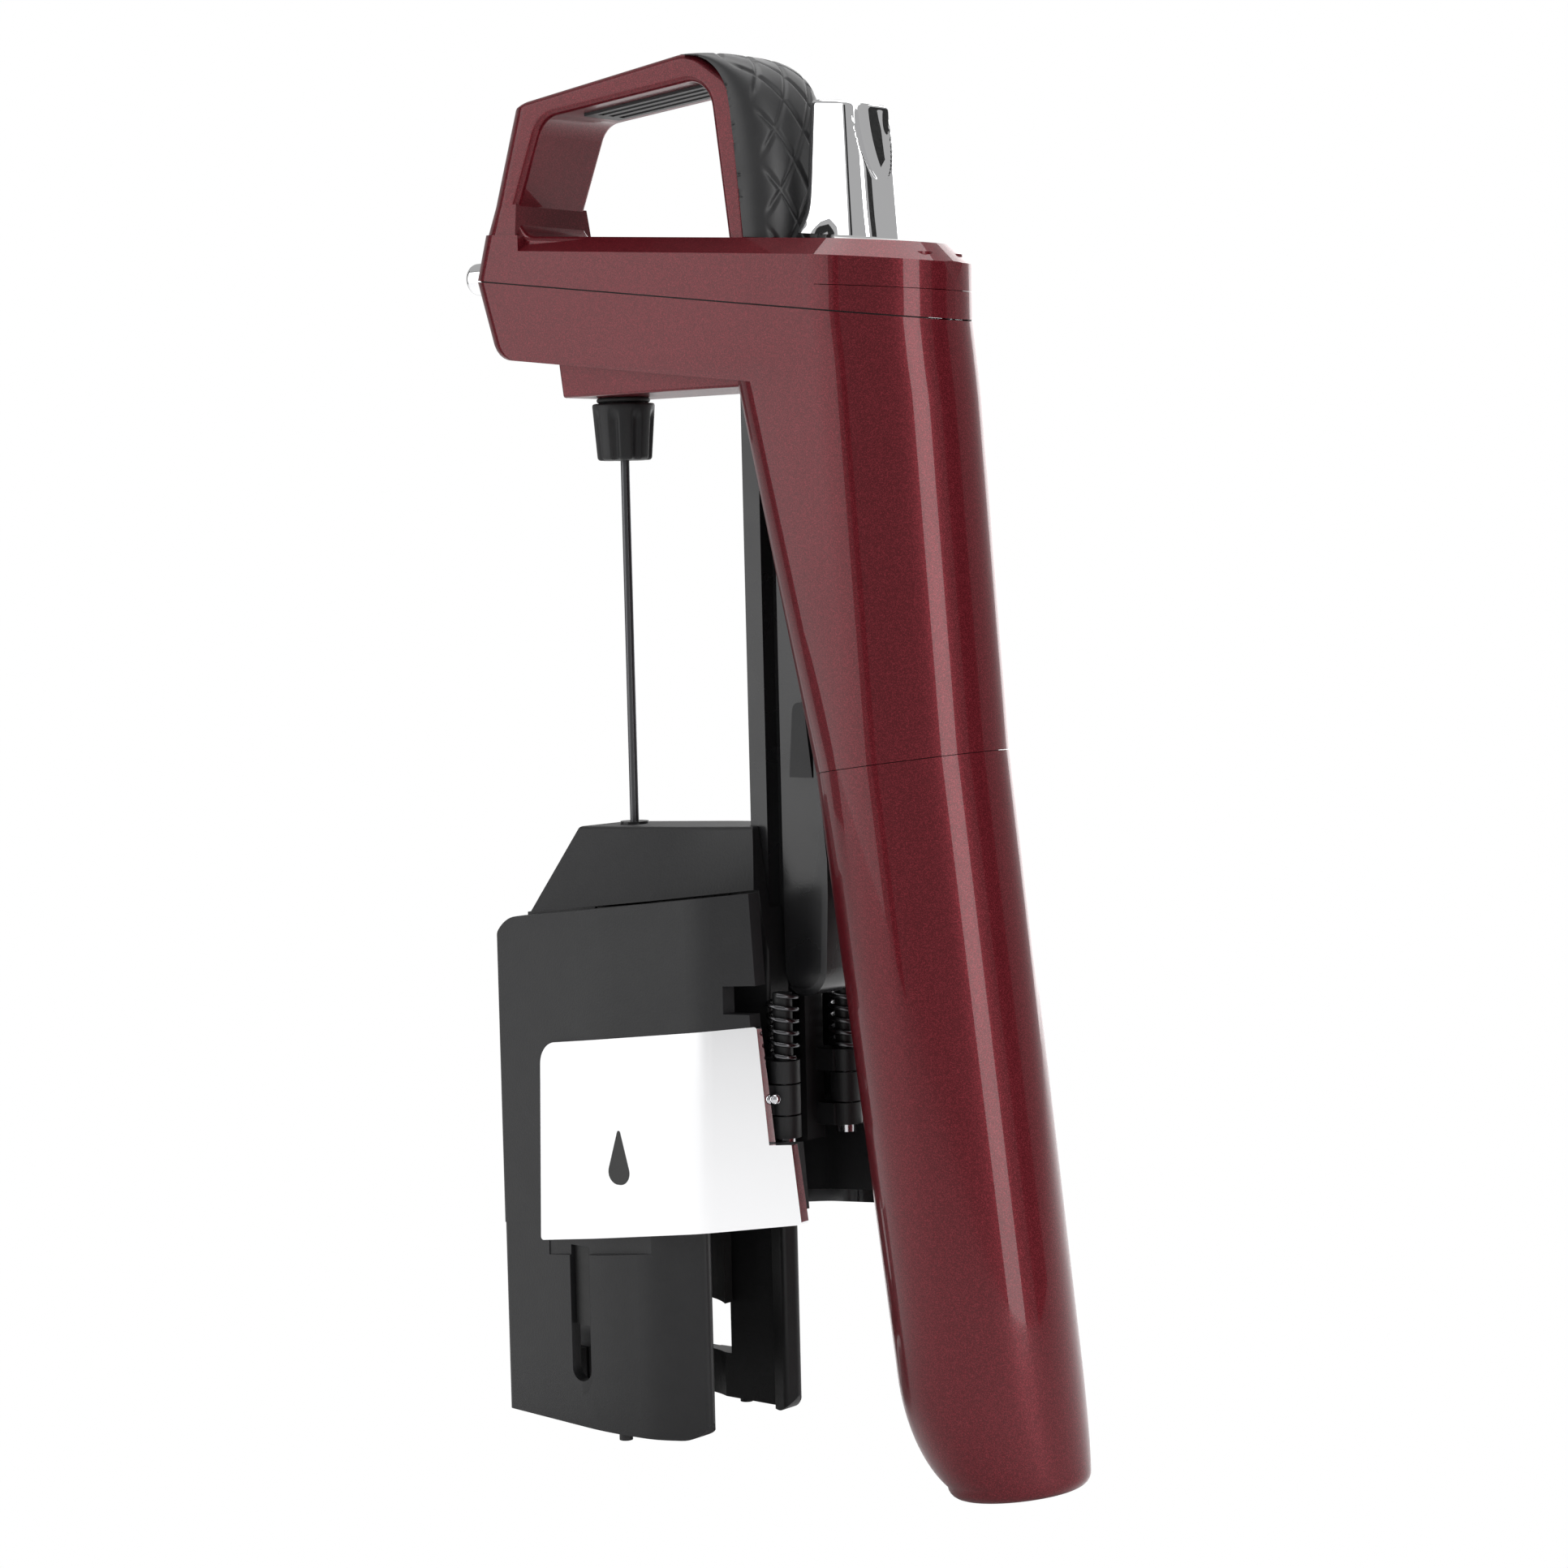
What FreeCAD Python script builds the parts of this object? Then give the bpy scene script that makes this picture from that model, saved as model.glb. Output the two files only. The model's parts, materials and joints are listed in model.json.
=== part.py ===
import FreeCAD, Part
import math
import os

# Needle wine opener: pours through the cork under gas pressure.
#
# Frame: millimetres. Z is the needle's axis, up towards the handle. The origin is on that axis,
# half way up the neck pads that grip the bottle. +X runs back to the gas tube, -Y is the left side.

Vector = FreeCAD.Vector
os.makedirs("parts", exist_ok=True)

# ---------------------------------------------------------------- driving sizes
# Body
body_radius = 16.5            # round back of the leg and the gas cup at the ring line
nose_half_width = 9.8         # head's half width at its front end
wall = 1.9                    # painted shell wall
ring_x = 63.4                 # where the cup's axis crosses the ring line
ring_z = 89.1
cup_lean_deg = 7.45           # the cup's axis leans back below the ring line
leg_top_axis_x = 57.5         # round back's axis, at leg_top_axis_z
leg_top_axis_z = 169.0
leg_front_top_x = 34.0        # leg's front face just under the head
nose_x = -28.3                # front end of the head, at its tip
nose_tip_z = 175.2            # the nose leans back above and below this height
nose_lean_up = 0.335          # how fast it leans back above the tip
nose_lean_down = 0.31         # and below it
nose_corner = 5.0             # rounding of the nose in plan
parting_z = 171.6             # lower and upper shell meet on a plane that falls to the back
parting_slope = -0.127
head_floor_z = 158.2
head_floor_slope = -0.116
head_top_z = 181.0
head_top_slope = -0.085
head_chamfer = 3.5            # width of the bevel round the head's top
head_chamfer_drop = 2.8       # height of the same bevel
parting_gap = 0.12            # half of the shadow line between the shells

# Handle
handle_half_width = 9.3
handle_leg = 7.0              # front leg, seen from the side
handle_bar = 4.9              # top bar, seen from the side
handle_edge = 1.3             # rounding along the handle's side edges
handle_foot_back_x = -15.6    # back of the front leg where it meets the head
grip_radius = 10.3            # rubber pad's half width
rib_strip_length = 29.0
rib_strip_half_width = 4.6

# Needle and its socket
needle_radius = 0.8
needle_tip_z = 53.0
hub_bottom_z = 141.8
hub_top_z = 151.9
hub_top_radius = 5.6
hub_bottom_radius = 4.9
hub_flutes = 8
boss_bottom_z = 152.9
boss_half_width = 10.0
boss_front_x = -5.4
boss_back_x = 36.0
socket_radius = 6.6
thread_radius = 3.9
running_gap = 0.06            # radial, shafts that turn or slide in holes

# Spout
spout_radius = 2.9
spout_bore = 1.5
spout_z = 176.3
spout_tip_x = -36.2
spout_root_radius = 2.5       # part that sits in the head
spout_shoulder_gap = 0.25     # between the spout's shoulder and the nose

# Guide rail under the head
rail_front_x = 31.5
rail_flange_depth = 3.7
rail_flange_half_width = 5.0
rail_web_half_width = 1.9
rail_back_x = 46.7            # behind the leg's front, and in front of the cup's top
rail_belly_x = 47.9           # deepest part of the back plate, between leg and tip
rail_spine_x = 37.6           # front of the rail's wide back plate
rail_spine_half_width = 4.6
rail_bottom_z = 48.6
rail_top_z = 160.0

# Sliding neck clamp
guide_gap = 0.3               # between the slider and the rail
stop_half_width = 6.0         # stop block, wider than the rail's flange
slider_back_x = 36.7
slider_half_width = 7.5
slider_bottom_z = 22.0
cap_top_z = 76.6
shoulder_z = 62.4             # arm tops, at the needle's axis
shoulder_slope = 0.118
arm_gap = 0.35                # arms to slider
arm_bottom_z = -30.0
arm_wall = 2.6
arm_half_width = 18.7         # outside of an arm at its widest
arm_front_x = -22.0
neck_space_radius = 15.2      # bottle's neck and lip pass here
inner_half_width = 13.8       # straight inside of the arms behind the neck
pad_radius = 14.25            # neck pads' gripping face
pad_backing = 1.75            # pad thickness
pad_height = 24.0
hinge_x = 40.5
hinge_y = 8.5
hinge_pin_radius = 1.1
knuckle_radius = 2.8
knuckle_bottom_z = 24.6
knuckle_top_z = 37.9
knuckle_split_low = 28.4
knuckle_split_high = 34.1
plaque_thickness = 1.3
plaque_flare = 0.8            # how far the plaque's lower edge stands out

# Gas cup and capsule, along the cup's own axis
cup_length = 123.0
cup_end_radius = 15.3
cup_front_round = 21.0        # height of the big round at the cup's front corner
cup_front_inset = 12.0
cup_wall = 2.0
capsule_radius = 11.0
capsule_length = 84.0
capsule_neck_radius = 4.3
capsule_top = 9.0             # neck end above the ring line
pin_radius = 1.2
collar_outer_radius = 14.5
collar_inner_radius = 13.4
cup_neck_radius = 13.2
cup_neck_height = 8.0
regulator_radius = 9.4
regulator_bottom = 9.6
regulator_top = 46.0

# Trigger
trigger_x = 52.2
trigger_pivot_z = 171.0
trigger_base_z = 177.5        # foot's height on the trigger's middle
trigger_slope = -0.11         # the foot and the top fall to the back, like the head's top
trigger_top_z = 199.9
trigger_pin_radius = 1.5
stem_z = 165.2


# ---------------------------------------------------------------- shape helpers
def outline(points, place):
    """Closed wire through the points, each corner rounded by its own radius."""
    count = len(points)
    corners = []
    for index in range(count):
        before = points[index - 1]
        corner = points[index]
        after = points[(index + 1) % count]
        radius = corner[2] if len(corner) > 2 else 0.0
        if radius <= 0:
            corners.append([(corner[0], corner[1])])
            continue
        ax, ay = before[0] - corner[0], before[1] - corner[1]
        bx, by = after[0] - corner[0], after[1] - corner[1]
        la, lb = math.hypot(ax, ay), math.hypot(bx, by)
        ax, ay, bx, by = ax / la, ay / la, bx / lb, by / lb
        half = math.acos(max(-1.0, min(1.0, ax * bx + ay * by))) / 2
        reach = radius / math.tan(half)
        mx, my = ax + bx, ay + by
        lm = math.hypot(mx, my)
        to_centre = radius / math.sin(half)
        cx, cy = corner[0] + mx / lm * to_centre, corner[1] + my / lm * to_centre
        mid = (cx - mx / lm * radius, cy - my / lm * radius)
        start = (corner[0] + ax * reach, corner[1] + ay * reach)
        end = (corner[0] + bx * reach, corner[1] + by * reach)
        corners.append([start, mid, end])
    edges = []
    for index in range(count):
        here = corners[index]
        there = corners[(index + 1) % count]
        if len(here) == 3:
            edges.append(Part.Arc(*[place(*p) for p in here]).toShape())
        start, end = place(*here[-1]), place(*there[0])
        if start.distanceToPoint(end) > 1e-6:
            edges.append(Part.makeLine(start, end))
    return Part.Wire(edges)


def side_prism(points, half_width, middle=0.0):
    """Outline in the side view (x, z), extruded evenly to both sides of y = middle."""
    wire = outline(points, lambda x, z: Vector(x, middle - half_width, z))
    return Part.Face(wire).extrude(Vector(0, 2 * half_width, 0))


def plan_prism(points, low, high):
    """Outline in plan (x, y), extruded from z = low to z = high."""
    wire = outline(points, lambda x, y: Vector(x, y, low))
    return Part.Face(wire).extrude(Vector(0, 0, high - low))


def front_prism(points, low, high):
    """Outline in the front view (y, z), extruded from x = low to x = high."""
    wire = outline(points, lambda y, z: Vector(low, y, z))
    return Part.Face(wire).extrude(Vector(high - low, 0, 0))


def box(x0, x1, y0, y1, z0, z1):
    return Part.makeBox(x1 - x0, y1 - y0, z1 - z0, Vector(x0, y0, z0))


def rod(radius, start, end):
    direction = end - start
    return Part.makeCylinder(radius, direction.Length, start, direction)


def upright(radius, x, y, low, high):
    return Part.makeCylinder(radius, high - low, Vector(x, y, low))


def tube(outer, inner, start, end):
    return rod(outer, start, end).cut(rod(inner, start, end))


def mirrored(shape):
    return shape.mirror(Vector(0, 0, 0), Vector(0, 1, 0))


def joined(shapes):
    result = shapes[0].multiFuse(shapes[1:]) if len(shapes) > 1 else shapes[0]
    return result.removeSplitter()


def keep_solids(shape, smallest=0.5):
    """The shape's real solids, without slivers."""
    solids = [s for s in shape.Solids if s.Volume > smallest]
    return solids[0] if len(solids) == 1 else Part.makeCompound(solids)


def soften(shape, radius, choose):
    """Round the edges that choose(edge) picks."""
    picked = [edge for edge in shape.Edges if choose(edge)]
    return shape.makeFillet(radius, picked) if picked else shape


def coil(radius, wire_radius, pitch, turns, base, direction):
    """A spring: a round wire swept along a helix, closed at both ends."""
    height = pitch * turns
    helix = Part.makeHelix(pitch, height, radius)
    section = Part.Wire(Part.makeCircle(wire_radius, Vector(radius, 0, 0), Vector(0, 1, 0)))
    spring = Part.Wire(helix).makePipeShell([section], True, True)
    turn = FreeCAD.Rotation(Vector(0, 0, 1), direction)
    spring.Placement = FreeCAD.Placement(base, turn)
    return spring


def write(node, shape):
    shape = keep_solids(shape)
    assert shape.isValid(), node + " is not valid"
    shape.exportStep("parts/" + node + ".step")
    size = shape.BoundBox
    print(f"{node:22s} solids {len(shape.Solids)} volume {shape.Volume:10.1f} "
          f"x {size.XMin:6.1f} {size.XMax:6.1f} y {size.YMin:6.1f} {size.YMax:6.1f} "
          f"z {size.ZMin:6.1f} {size.ZMax:6.1f}")


# ---------------------------------------------------------------- cup axis
lean = math.radians(cup_lean_deg)
axis_up = Vector(-math.sin(lean), 0, math.cos(lean))
axis_side = Vector(math.cos(lean), 0, math.sin(lean))
ring_centre = Vector(ring_x, 0, ring_z)


def on_axis(height, out=0.0, side=0.0):
    """A point at a height above the ring line, measured along the cup's axis."""
    return ring_centre + axis_up * height + axis_side * out + Vector(0, side, 0)


def axis_rod(radius, low, high):
    return rod(radius, on_axis(low), on_axis(high))


def axis_tube(outer, inner, low, high):
    return tube(outer, inner, on_axis(low), on_axis(high))


def axis_cone(low_radius, high_radius, low, high):
    return Part.makeCone(low_radius, high_radius, high - low, on_axis(low), axis_up)


# ---------------------------------------------------------------- planes of the head
def plane_z(level, slope, x):
    return level + slope * x


def slab(level_low, slope_low, level_high, slope_high, x0=-60.0, x1=110.0):
    """Everything between two sloping planes, seen from the side."""
    points = [
        (x0, plane_z(level_low, slope_low, x0)),
        (x1, plane_z(level_low, slope_low, x1)),
        (x1, plane_z(level_high, slope_high, x1)),
        (x0, plane_z(level_high, slope_high, x0)),
    ]
    return side_prism(points, 40.0)


head_taper = (body_radius - nose_half_width) / (leg_top_axis_x - nose_x)


def head_half(x):
    """Half width of the head, which widens evenly to the back."""
    return nose_half_width + head_taper * (x - nose_x)


def nose_front(z):
    """The nose's foremost point at a height."""
    if z > nose_tip_z:
        return nose_x + nose_lean_up * (z - nose_tip_z)
    return nose_x + nose_lean_down * (nose_tip_z - z)


def head_plan(inset):
    """The head from above: narrow rounded nose that leans both ways, round back."""
    back = leg_top_axis_x
    radius = body_radius - inset
    rim = max(nose_corner - inset, 1.0)
    rounds = []
    for level in (140.0, nose_tip_z, 200.0):
        front = nose_front(level) + inset
        half = head_half(nose_front(level)) - inset
        points = [(front, -half, rim), (back, -radius), (back, radius), (front, half, rim)]
        rounds.append(outline(points, lambda x, y: Vector(x, y, level)))
    body = Part.makeLoft(rounds, True, True)
    return body.fuse(upright(radius, back, 0, 140.0, 200.0))


def back_slope(inset, half_width):
    """Side-view limit of the back face, which leans back as it goes down."""
    top_x = leg_top_axis_x + body_radius - inset
    slope = (ring_x - leg_top_axis_x) / (leg_top_axis_z - ring_z)
    low_z, high_z = 60.0, 200.0
    points = [
        (-60, low_z),
        (top_x + slope * (leg_top_axis_z - low_z), low_z),
        (top_x + slope * (leg_top_axis_z - high_z), high_z),
        (-60, high_z),
    ]
    return side_prism(points, half_width)


# ---------------------------------------------------------------- leg
def leg(inset, grow=0.0):
    """The upper leg: from the head's plan down to the round ring line, as one ruled skin."""
    top_z = 178.0
    slope_front = (ring_x - body_radius - leg_front_top_x) / (ring_z - boss_bottom_z)
    front = leg_front_top_x + slope_front * (top_z - boss_bottom_z) + inset
    back_shift = (ring_x - leg_top_axis_x) / (leg_top_axis_z - ring_z)
    axis_x = leg_top_axis_x - back_shift * (top_z - leg_top_axis_z)
    radius = body_radius - inset
    front_half = radius - head_taper * (axis_x - front)
    corner = 8.0 - inset / 2
    top_edges = []
    low_edges = []

    def top(x, y):
        return Vector(x, y, top_z)

    side_angle = math.atan(head_taper)
    start_x, start_y = front, front_half - corner
    centre_x, centre_y = front + corner, front_half - corner
    bend_angles = [math.pi, math.pi / 2 + side_angle]
    ring_angles = [math.radians(a) for a in (168.0, 112.0, 90.0, 0.0)]

    def top_corner(angle, sign):
        x = centre_x + corner * math.cos(angle)
        y = centre_y + corner * math.sin(angle)
        return top(x, sign * y)

    def ring_point(angle, sign):
        out = radius * math.cos(angle)
        side = radius * math.sin(angle)
        return on_axis(-grow, out, sign * side)

    back_start = math.pi / 2 + side_angle

    def top_back(angle, sign):
        return top(axis_x + radius * math.cos(angle), sign * radius * math.sin(angle))

    for sign in (1, -1):
        middle = (bend_angles[0] + bend_angles[1]) / 2
        line_end = top_corner(bend_angles[1], sign)
        half = [
            Part.Arc(top_corner(bend_angles[0], sign), top_corner(middle, sign), line_end).toShape(),
            Part.makeLine(line_end, top_back(back_start, sign)),
            Part.Arc(top_back(back_start, sign), top_back(back_start / 2, sign), top_back(0, sign)).toShape(),
        ]
        ring_half = []
        for first, last in zip(ring_angles[:-1], ring_angles[1:]):
            mid = (first + last) / 2
            arc = Part.Arc(ring_point(first, sign), ring_point(mid, sign), ring_point(last, sign))
            ring_half.append(arc.toShape())
        top_edges.append(half)
        low_edges.append(ring_half)
    top_front = Part.makeLine(top(start_x, -start_y), top(start_x, start_y))
    low_front = Part.Arc(
        ring_point(ring_angles[0], -1), ring_point(math.pi, 1), ring_point(ring_angles[0], 1)
    ).toShape()
    top_wire = Part.Wire(Part.__sortEdges__([top_front] + top_edges[0] + top_edges[1]))
    low_wire = Part.Wire(Part.__sortEdges__([low_front] + low_edges[0] + low_edges[1]))
    return Part.makeLoft([low_wire, top_wire], True, True)


# ---------------------------------------------------------------- head
def nose_profile(inset):
    """Side view of the whole head's front end and underside."""
    floor = head_floor_z + inset
    corner = -23.9 + inset * 1.3
    return [
        (nose_x - 0.2 + inset, nose_tip_z),
        (nose_x - 0.2 + inset, 190.0),
        (100.0, 190.0),
        (100.0, plane_z(floor, head_floor_slope, 100.0)),
        (corner, plane_z(floor, head_floor_slope, corner), max(5.0 - inset, 0.5)),
    ]


def head_block(inset):
    block = head_plan(inset).common(side_prism(nose_profile(inset), 40.0))
    return block.common(back_slope(inset, 40.0))


def boss():
    """Wedge under the head that holds the needle socket square to the needle."""
    points = [
        (boss_front_x, boss_bottom_z),
        (boss_back_x + 2.0, boss_bottom_z),
        (boss_back_x + 2.0, 166.0),
        (boss_front_x - 1.6, 166.0),
    ]
    return side_prism(points, boss_half_width)


def rail_slot():
    gap = 0.02
    flange = rail_flange_half_width + gap
    web = rail_web_half_width + gap
    spine = rail_spine_half_width + gap
    top = rail_top_z + gap
    front = rail_front_x - gap
    flange_back = rail_front_x + rail_flange_depth + gap
    pieces = [
        box(front, flange_back, -flange, flange, 60.0, top),
        box(flange_back - 0.5, rail_spine_x, -web, web, 60.0, top),
        box(rail_spine_x - gap, rail_back_x + gap, -spine, spine, 60.0, top),
    ]
    return joined(pieces)


def main_housing():
    lower = slab(-200.0, 0.0, parting_z - parting_gap, parting_slope)
    outer = head_block(0.0).fuse(leg(0.0)).fuse(boss())
    outer = outer.common(lower)
    inner = head_block(wall).fuse(leg(wall, grow=0.5))
    inner = inner.cut(box(-60, boss_back_x - 3, -40, 40, 60.0, boss_bottom_z + 6.3))
    shell = outer.cut(inner)
    rail_wall = box(rail_front_x - 1.6, rail_back_x + 1.1, -7.0, 7.0, 84.0, rail_top_z + 1.5)
    rail_wall = rail_wall.common(outer)
    collar_wall = axis_rod(body_radius - 0.2, 0.0, 10.0).cut(axis_rod(collar_outer_radius, -1.0, 11.0))
    shell = shell.fuse([rail_wall, collar_wall.common(outer)])
    shell = shell.cut(rail_slot())
    shell = shell.cut(upright(socket_radius, 0, 0, 140.0, 175.0))
    shell = shell.cut(axis_rod(collar_outer_radius, -2.0, 9.2))
    shell = shell.cut(spout_hole())
    for x, y in screw_posts:
        top = plane_z(parting_z, parting_slope, x) - 0.4
        shell = shell.fuse(upright(2.6, x, y, top - screw_post_height, top))
        shell = shell.cut(upright(screw_radius, x, y, top - screw_post_height + 1.0, top + 1.0))
    return keep_solids(shell)


def seam_gasket():
    """Thin dark seal in the gap between the housing and the covers."""
    skin = 0.02
    layer = slab(parting_z - parting_gap + skin, parting_slope, parting_z + parting_gap - skin, parting_slope)
    ring = head_block(0.5).cut(head_block(wall - 0.3)).common(layer)
    ring = ring.cut(back_slope(-20.0, 5.4).cut(box(-60, 70.0, -9, 9, 0, 250)))
    return ring.cut(box(-60.0, -20.0, -4.0, 4.0, 170.0, 180.0))


screw_radius = 1.1
screw_post_height = 12.2
screw_posts = [(-19.0, -6.6), (-19.0, 6.6), (69.6, -4.0), (69.6, 4.0)]


# ---------------------------------------------------------------- handle
def handle_outer(grow=0.0):
    """Side view of the handle's outside, from the head's nose up and over to the back."""
    return [
        (nose_front(170.0) - grow, 170.0),
        (nose_x - grow, nose_tip_z),
        (nose_front(205.4) - grow, 205.4 + grow, 8.0),
        (25.5, 210.6 + grow, 9.0),
        (35.2 + grow, 204.0, 7.0),
        (37.6 + grow, 176.0),
    ]


def handle_loop():
    """Side view of the finger opening."""
    front, back = -18.4, 32.9
    return [
        (front, plane_z(head_top_z, head_top_slope, front), 4.2),
        (-9.8, loop_top(-9.8), 5.0),
        (29.2, loop_top(29.2), 5.5),
        (back, plane_z(head_top_z, head_top_slope, back)),
    ]


def loop_top(x):
    """Underside of the handle's top bar."""
    return 203.4 + 0.08 * x


def top_cover():
    """Upper shell of the head with the whole handle, before it is split down the middle."""
    upper = slab(parting_z + parting_gap, parting_slope, head_top_z, head_top_slope)
    block = head_block(0.0).common(upper)
    block = bevelled(block)
    frame = handle_frame().common(slab(head_top_z - 4.0, head_top_slope, 260.0, 0.0))
    hollow = head_block(wall).common(slab(100.0, 0.0, head_top_z - wall, head_top_slope))
    handle_core = side_prism(handle_hollow(), handle_half_width - 2.2)
    cover = block.fuse([frame, handle_foot()]).cut(hollow).cut(handle_core)
    cover = cover.cut(trigger_opening())
    cover = cover.cut(spout_hole())
    cover = cover.cut(rib_strip(0.02))
    for x, y in screw_posts:
        low = plane_z(parting_z, parting_slope, x) + 0.4
        top = plane_z(head_top_z, head_top_slope, x) - wall + 0.1
        cover = cover.fuse(upright(2.6, x, y, low, top))
        cover = cover.cut(upright(screw_radius, x, y, low - 1.0, low + 5.0))
    return keep_solids(cover.removeSplitter())


def bevelled(block):
    """Bevel along both sides of the head's top and round its back."""
    rise = head_chamfer_drop / head_chamfer
    first_x = handle_foot_back_x + 1.0
    for sign in (-1, 1):
        start = Vector(first_x, sign * head_half(first_x), plane_z(head_top_z, head_top_slope, first_x))
        along = Vector(1.0, sign * head_taper, head_top_slope)
        blade = [
            Vector(0, sign * -head_chamfer, 0.0),
            Vector(0, sign * -head_chamfer, 3.0),
            Vector(0, sign * 5.0, 3.0),
            Vector(0, sign * 5.0, -(head_chamfer + 5.0) * rise),
        ]
        blade = [start + corner for corner in blade]
        wire = Part.makePolygon(blade + [blade[0]])
        block = block.cut(Part.Face(wire).extrude(along * (leg_top_axis_x - first_x)))
    up = Vector(-head_top_slope, 0, 1)
    level = plane_z(head_top_z, head_top_slope, leg_top_axis_x)
    outer, above = 6.0, 2.0
    low = Vector(leg_top_axis_x, 0, level) - up * ((head_chamfer + outer) * rise)
    height = (head_chamfer + outer) * rise + above
    cone = Part.makeCone(body_radius + outer, body_radius - head_chamfer - above / rise, height, low, up)
    below = Part.makeCylinder(body_radius + outer, 30.0, low - up * 30.0, up)
    back = box(leg_top_axis_x, 120.0, -40, 40, 150.0, 200.0).common(block)
    return block.cut(back.cut(cone.fuse(below)))


def handle_foot():
    """Flare that carries the handle's front leg out to the head's full width."""
    wires = []
    for level, back, grow in ((178.0, handle_foot_back_x, 1.0), (188.0, handle_foot_back_x - 0.6, 0.0)):
        front = nose_front(level)
        near = handle_half_width + grow * (head_half(front) - handle_half_width)
        far = handle_half_width + grow * (head_half(back) - handle_half_width)
        points = [(front, -near, nose_corner), (back, -far), (back, far), (front, near, nose_corner)]
        wires.append(outline(points, lambda x, y: Vector(x, y, level)))
    return Part.makeLoft(wires, True, True)


def side_edge(edge):
    """True for an edge of the handle's flat side faces, except along its foot."""
    low, high = edge.BoundBox.YMin, edge.BoundBox.YMax
    on_side = high - low < 0.001 and abs(abs(low) - handle_half_width) < 0.001
    return on_side and edge.BoundBox.ZMax > 176.5


def handle_frame():
    """The looped handle: rounded edges, and a front that is round in plan like the head's nose."""
    frame = side_prism(handle_outer(), handle_half_width).cut(side_prism(handle_loop(), 40.0))
    frame = soften(frame, handle_edge, side_edge)
    rounds = []
    for level in (nose_tip_z, 213.0):
        front = nose_front(level)
        points = [(front, -handle_half_width, nose_corner), (60.0, -handle_half_width),
                  (60.0, handle_half_width), (front, handle_half_width, nose_corner)]
        rounds.append(outline(points, lambda x, y: Vector(x, y, level)))
    return frame.common(Part.makeLoft(rounds, True, True))


def handle_hollow():
    """Weight-saving hollow up the front leg, open to the head."""
    return [
        (-24.6, 170.0),
        (-24.6, 178.0),
        (-17.9, 198.0, 0.8),
        (-14.7, 198.0, 0.8),
        (-20.6, 184.0),
        (-20.6, 170.0),
    ]


def trigger_opening():
    """Slot in the head's top for the trigger's lever."""
    low = plane_z(head_top_z, head_top_slope, trigger_x) - 6.0
    front, back, half = trigger_x - 4.4, trigger_x + 3.4, 4.6
    corners = [(front, -half, 1.5), (back, -half, 1.5), (back, half, 1.5), (front, half, 1.5)]
    return plan_prism(corners, low, low + 12.0)


def spout_hole():
    return rod(spout_root_radius + 0.02, Vector(-60, 0, spout_z), Vector(-14.0, 0, spout_z))


def rib_strip(grow=0.0):
    """Black strip let into the underside of the top bar."""
    x0, x1 = -3.4 - grow, -3.4 + rib_strip_length + grow
    points = [
        (x0, loop_top(x0) - 0.5),
        (x1, loop_top(x1) - 0.5),
        (x1, loop_top(x1) + 1.6 + grow),
        (x0, loop_top(x0) + 1.6 + grow),
    ]
    return side_prism(points, rib_strip_half_width + grow)


def ribbed(strip):
    first, last = -1.2, rib_strip_length - 5.6
    for y in (-2.7, 0.0, 2.7):
        start = Vector(first, y, loop_top(first) - 0.5)
        end = Vector(last, y, loop_top(last) - 0.5)
        strip = strip.cut(rod(0.7, start, end))
    return strip


def grip_pad():
    """Rubber pad over the back of the handle, wide and round to the palm."""
    side = [
        (24.2, 209.8),
        (30.6, 210.2, 12.0),
        (39.2, 206.6, 8.0),
        (43.2, 196.0, 30.0),
        (44.4, plane_z(head_top_z, head_top_slope, 44.4) + 0.05),
        (33.4, plane_z(head_top_z, head_top_slope, 33.4) + 0.05),
        (31.8, 204.0, 5.0),
        (23.0, 208.0),
    ]
    body = side_prism(side, grip_radius)
    rounded_back = plan_prism([
        (20.0, -grip_radius),
        (44.5, -grip_radius, 9.6),
        (44.5, grip_radius, 9.6),
        (20.0, grip_radius),
    ], 170.0, 220.0)
    rounded_top = front_prism([
        (-grip_radius, 160.0),
        (-grip_radius, 210.6, 5.5),
        (grip_radius, 210.6, 5.5),
        (grip_radius, 160.0),
    ], 20.0, 60.0)
    body = body.common(rounded_back).common(rounded_top)
    return body.cut(side_prism(handle_outer(0.02), 40.0))


def spout():
    shoulder_x = nose_x - spout_shoulder_gap
    body = rod(spout_radius, Vector(spout_tip_x, 0, spout_z), Vector(shoulder_x, 0, spout_z))
    body = soften(body, 1.3, lambda e: abs(e.CenterOfMass.x - spout_tip_x) < 0.01)
    body = body.fuse(rod(spout_root_radius, Vector(shoulder_x, 0, spout_z), Vector(-18.0, 0, spout_z)))
    body = body.fuse(rod(2.1, Vector(-18.0, 0, spout_z), Vector(-13.0, 0, spout_z)))
    return body.cut(rod(spout_bore, Vector(-60, 0, spout_z), Vector(0, 0, spout_z)))


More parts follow.
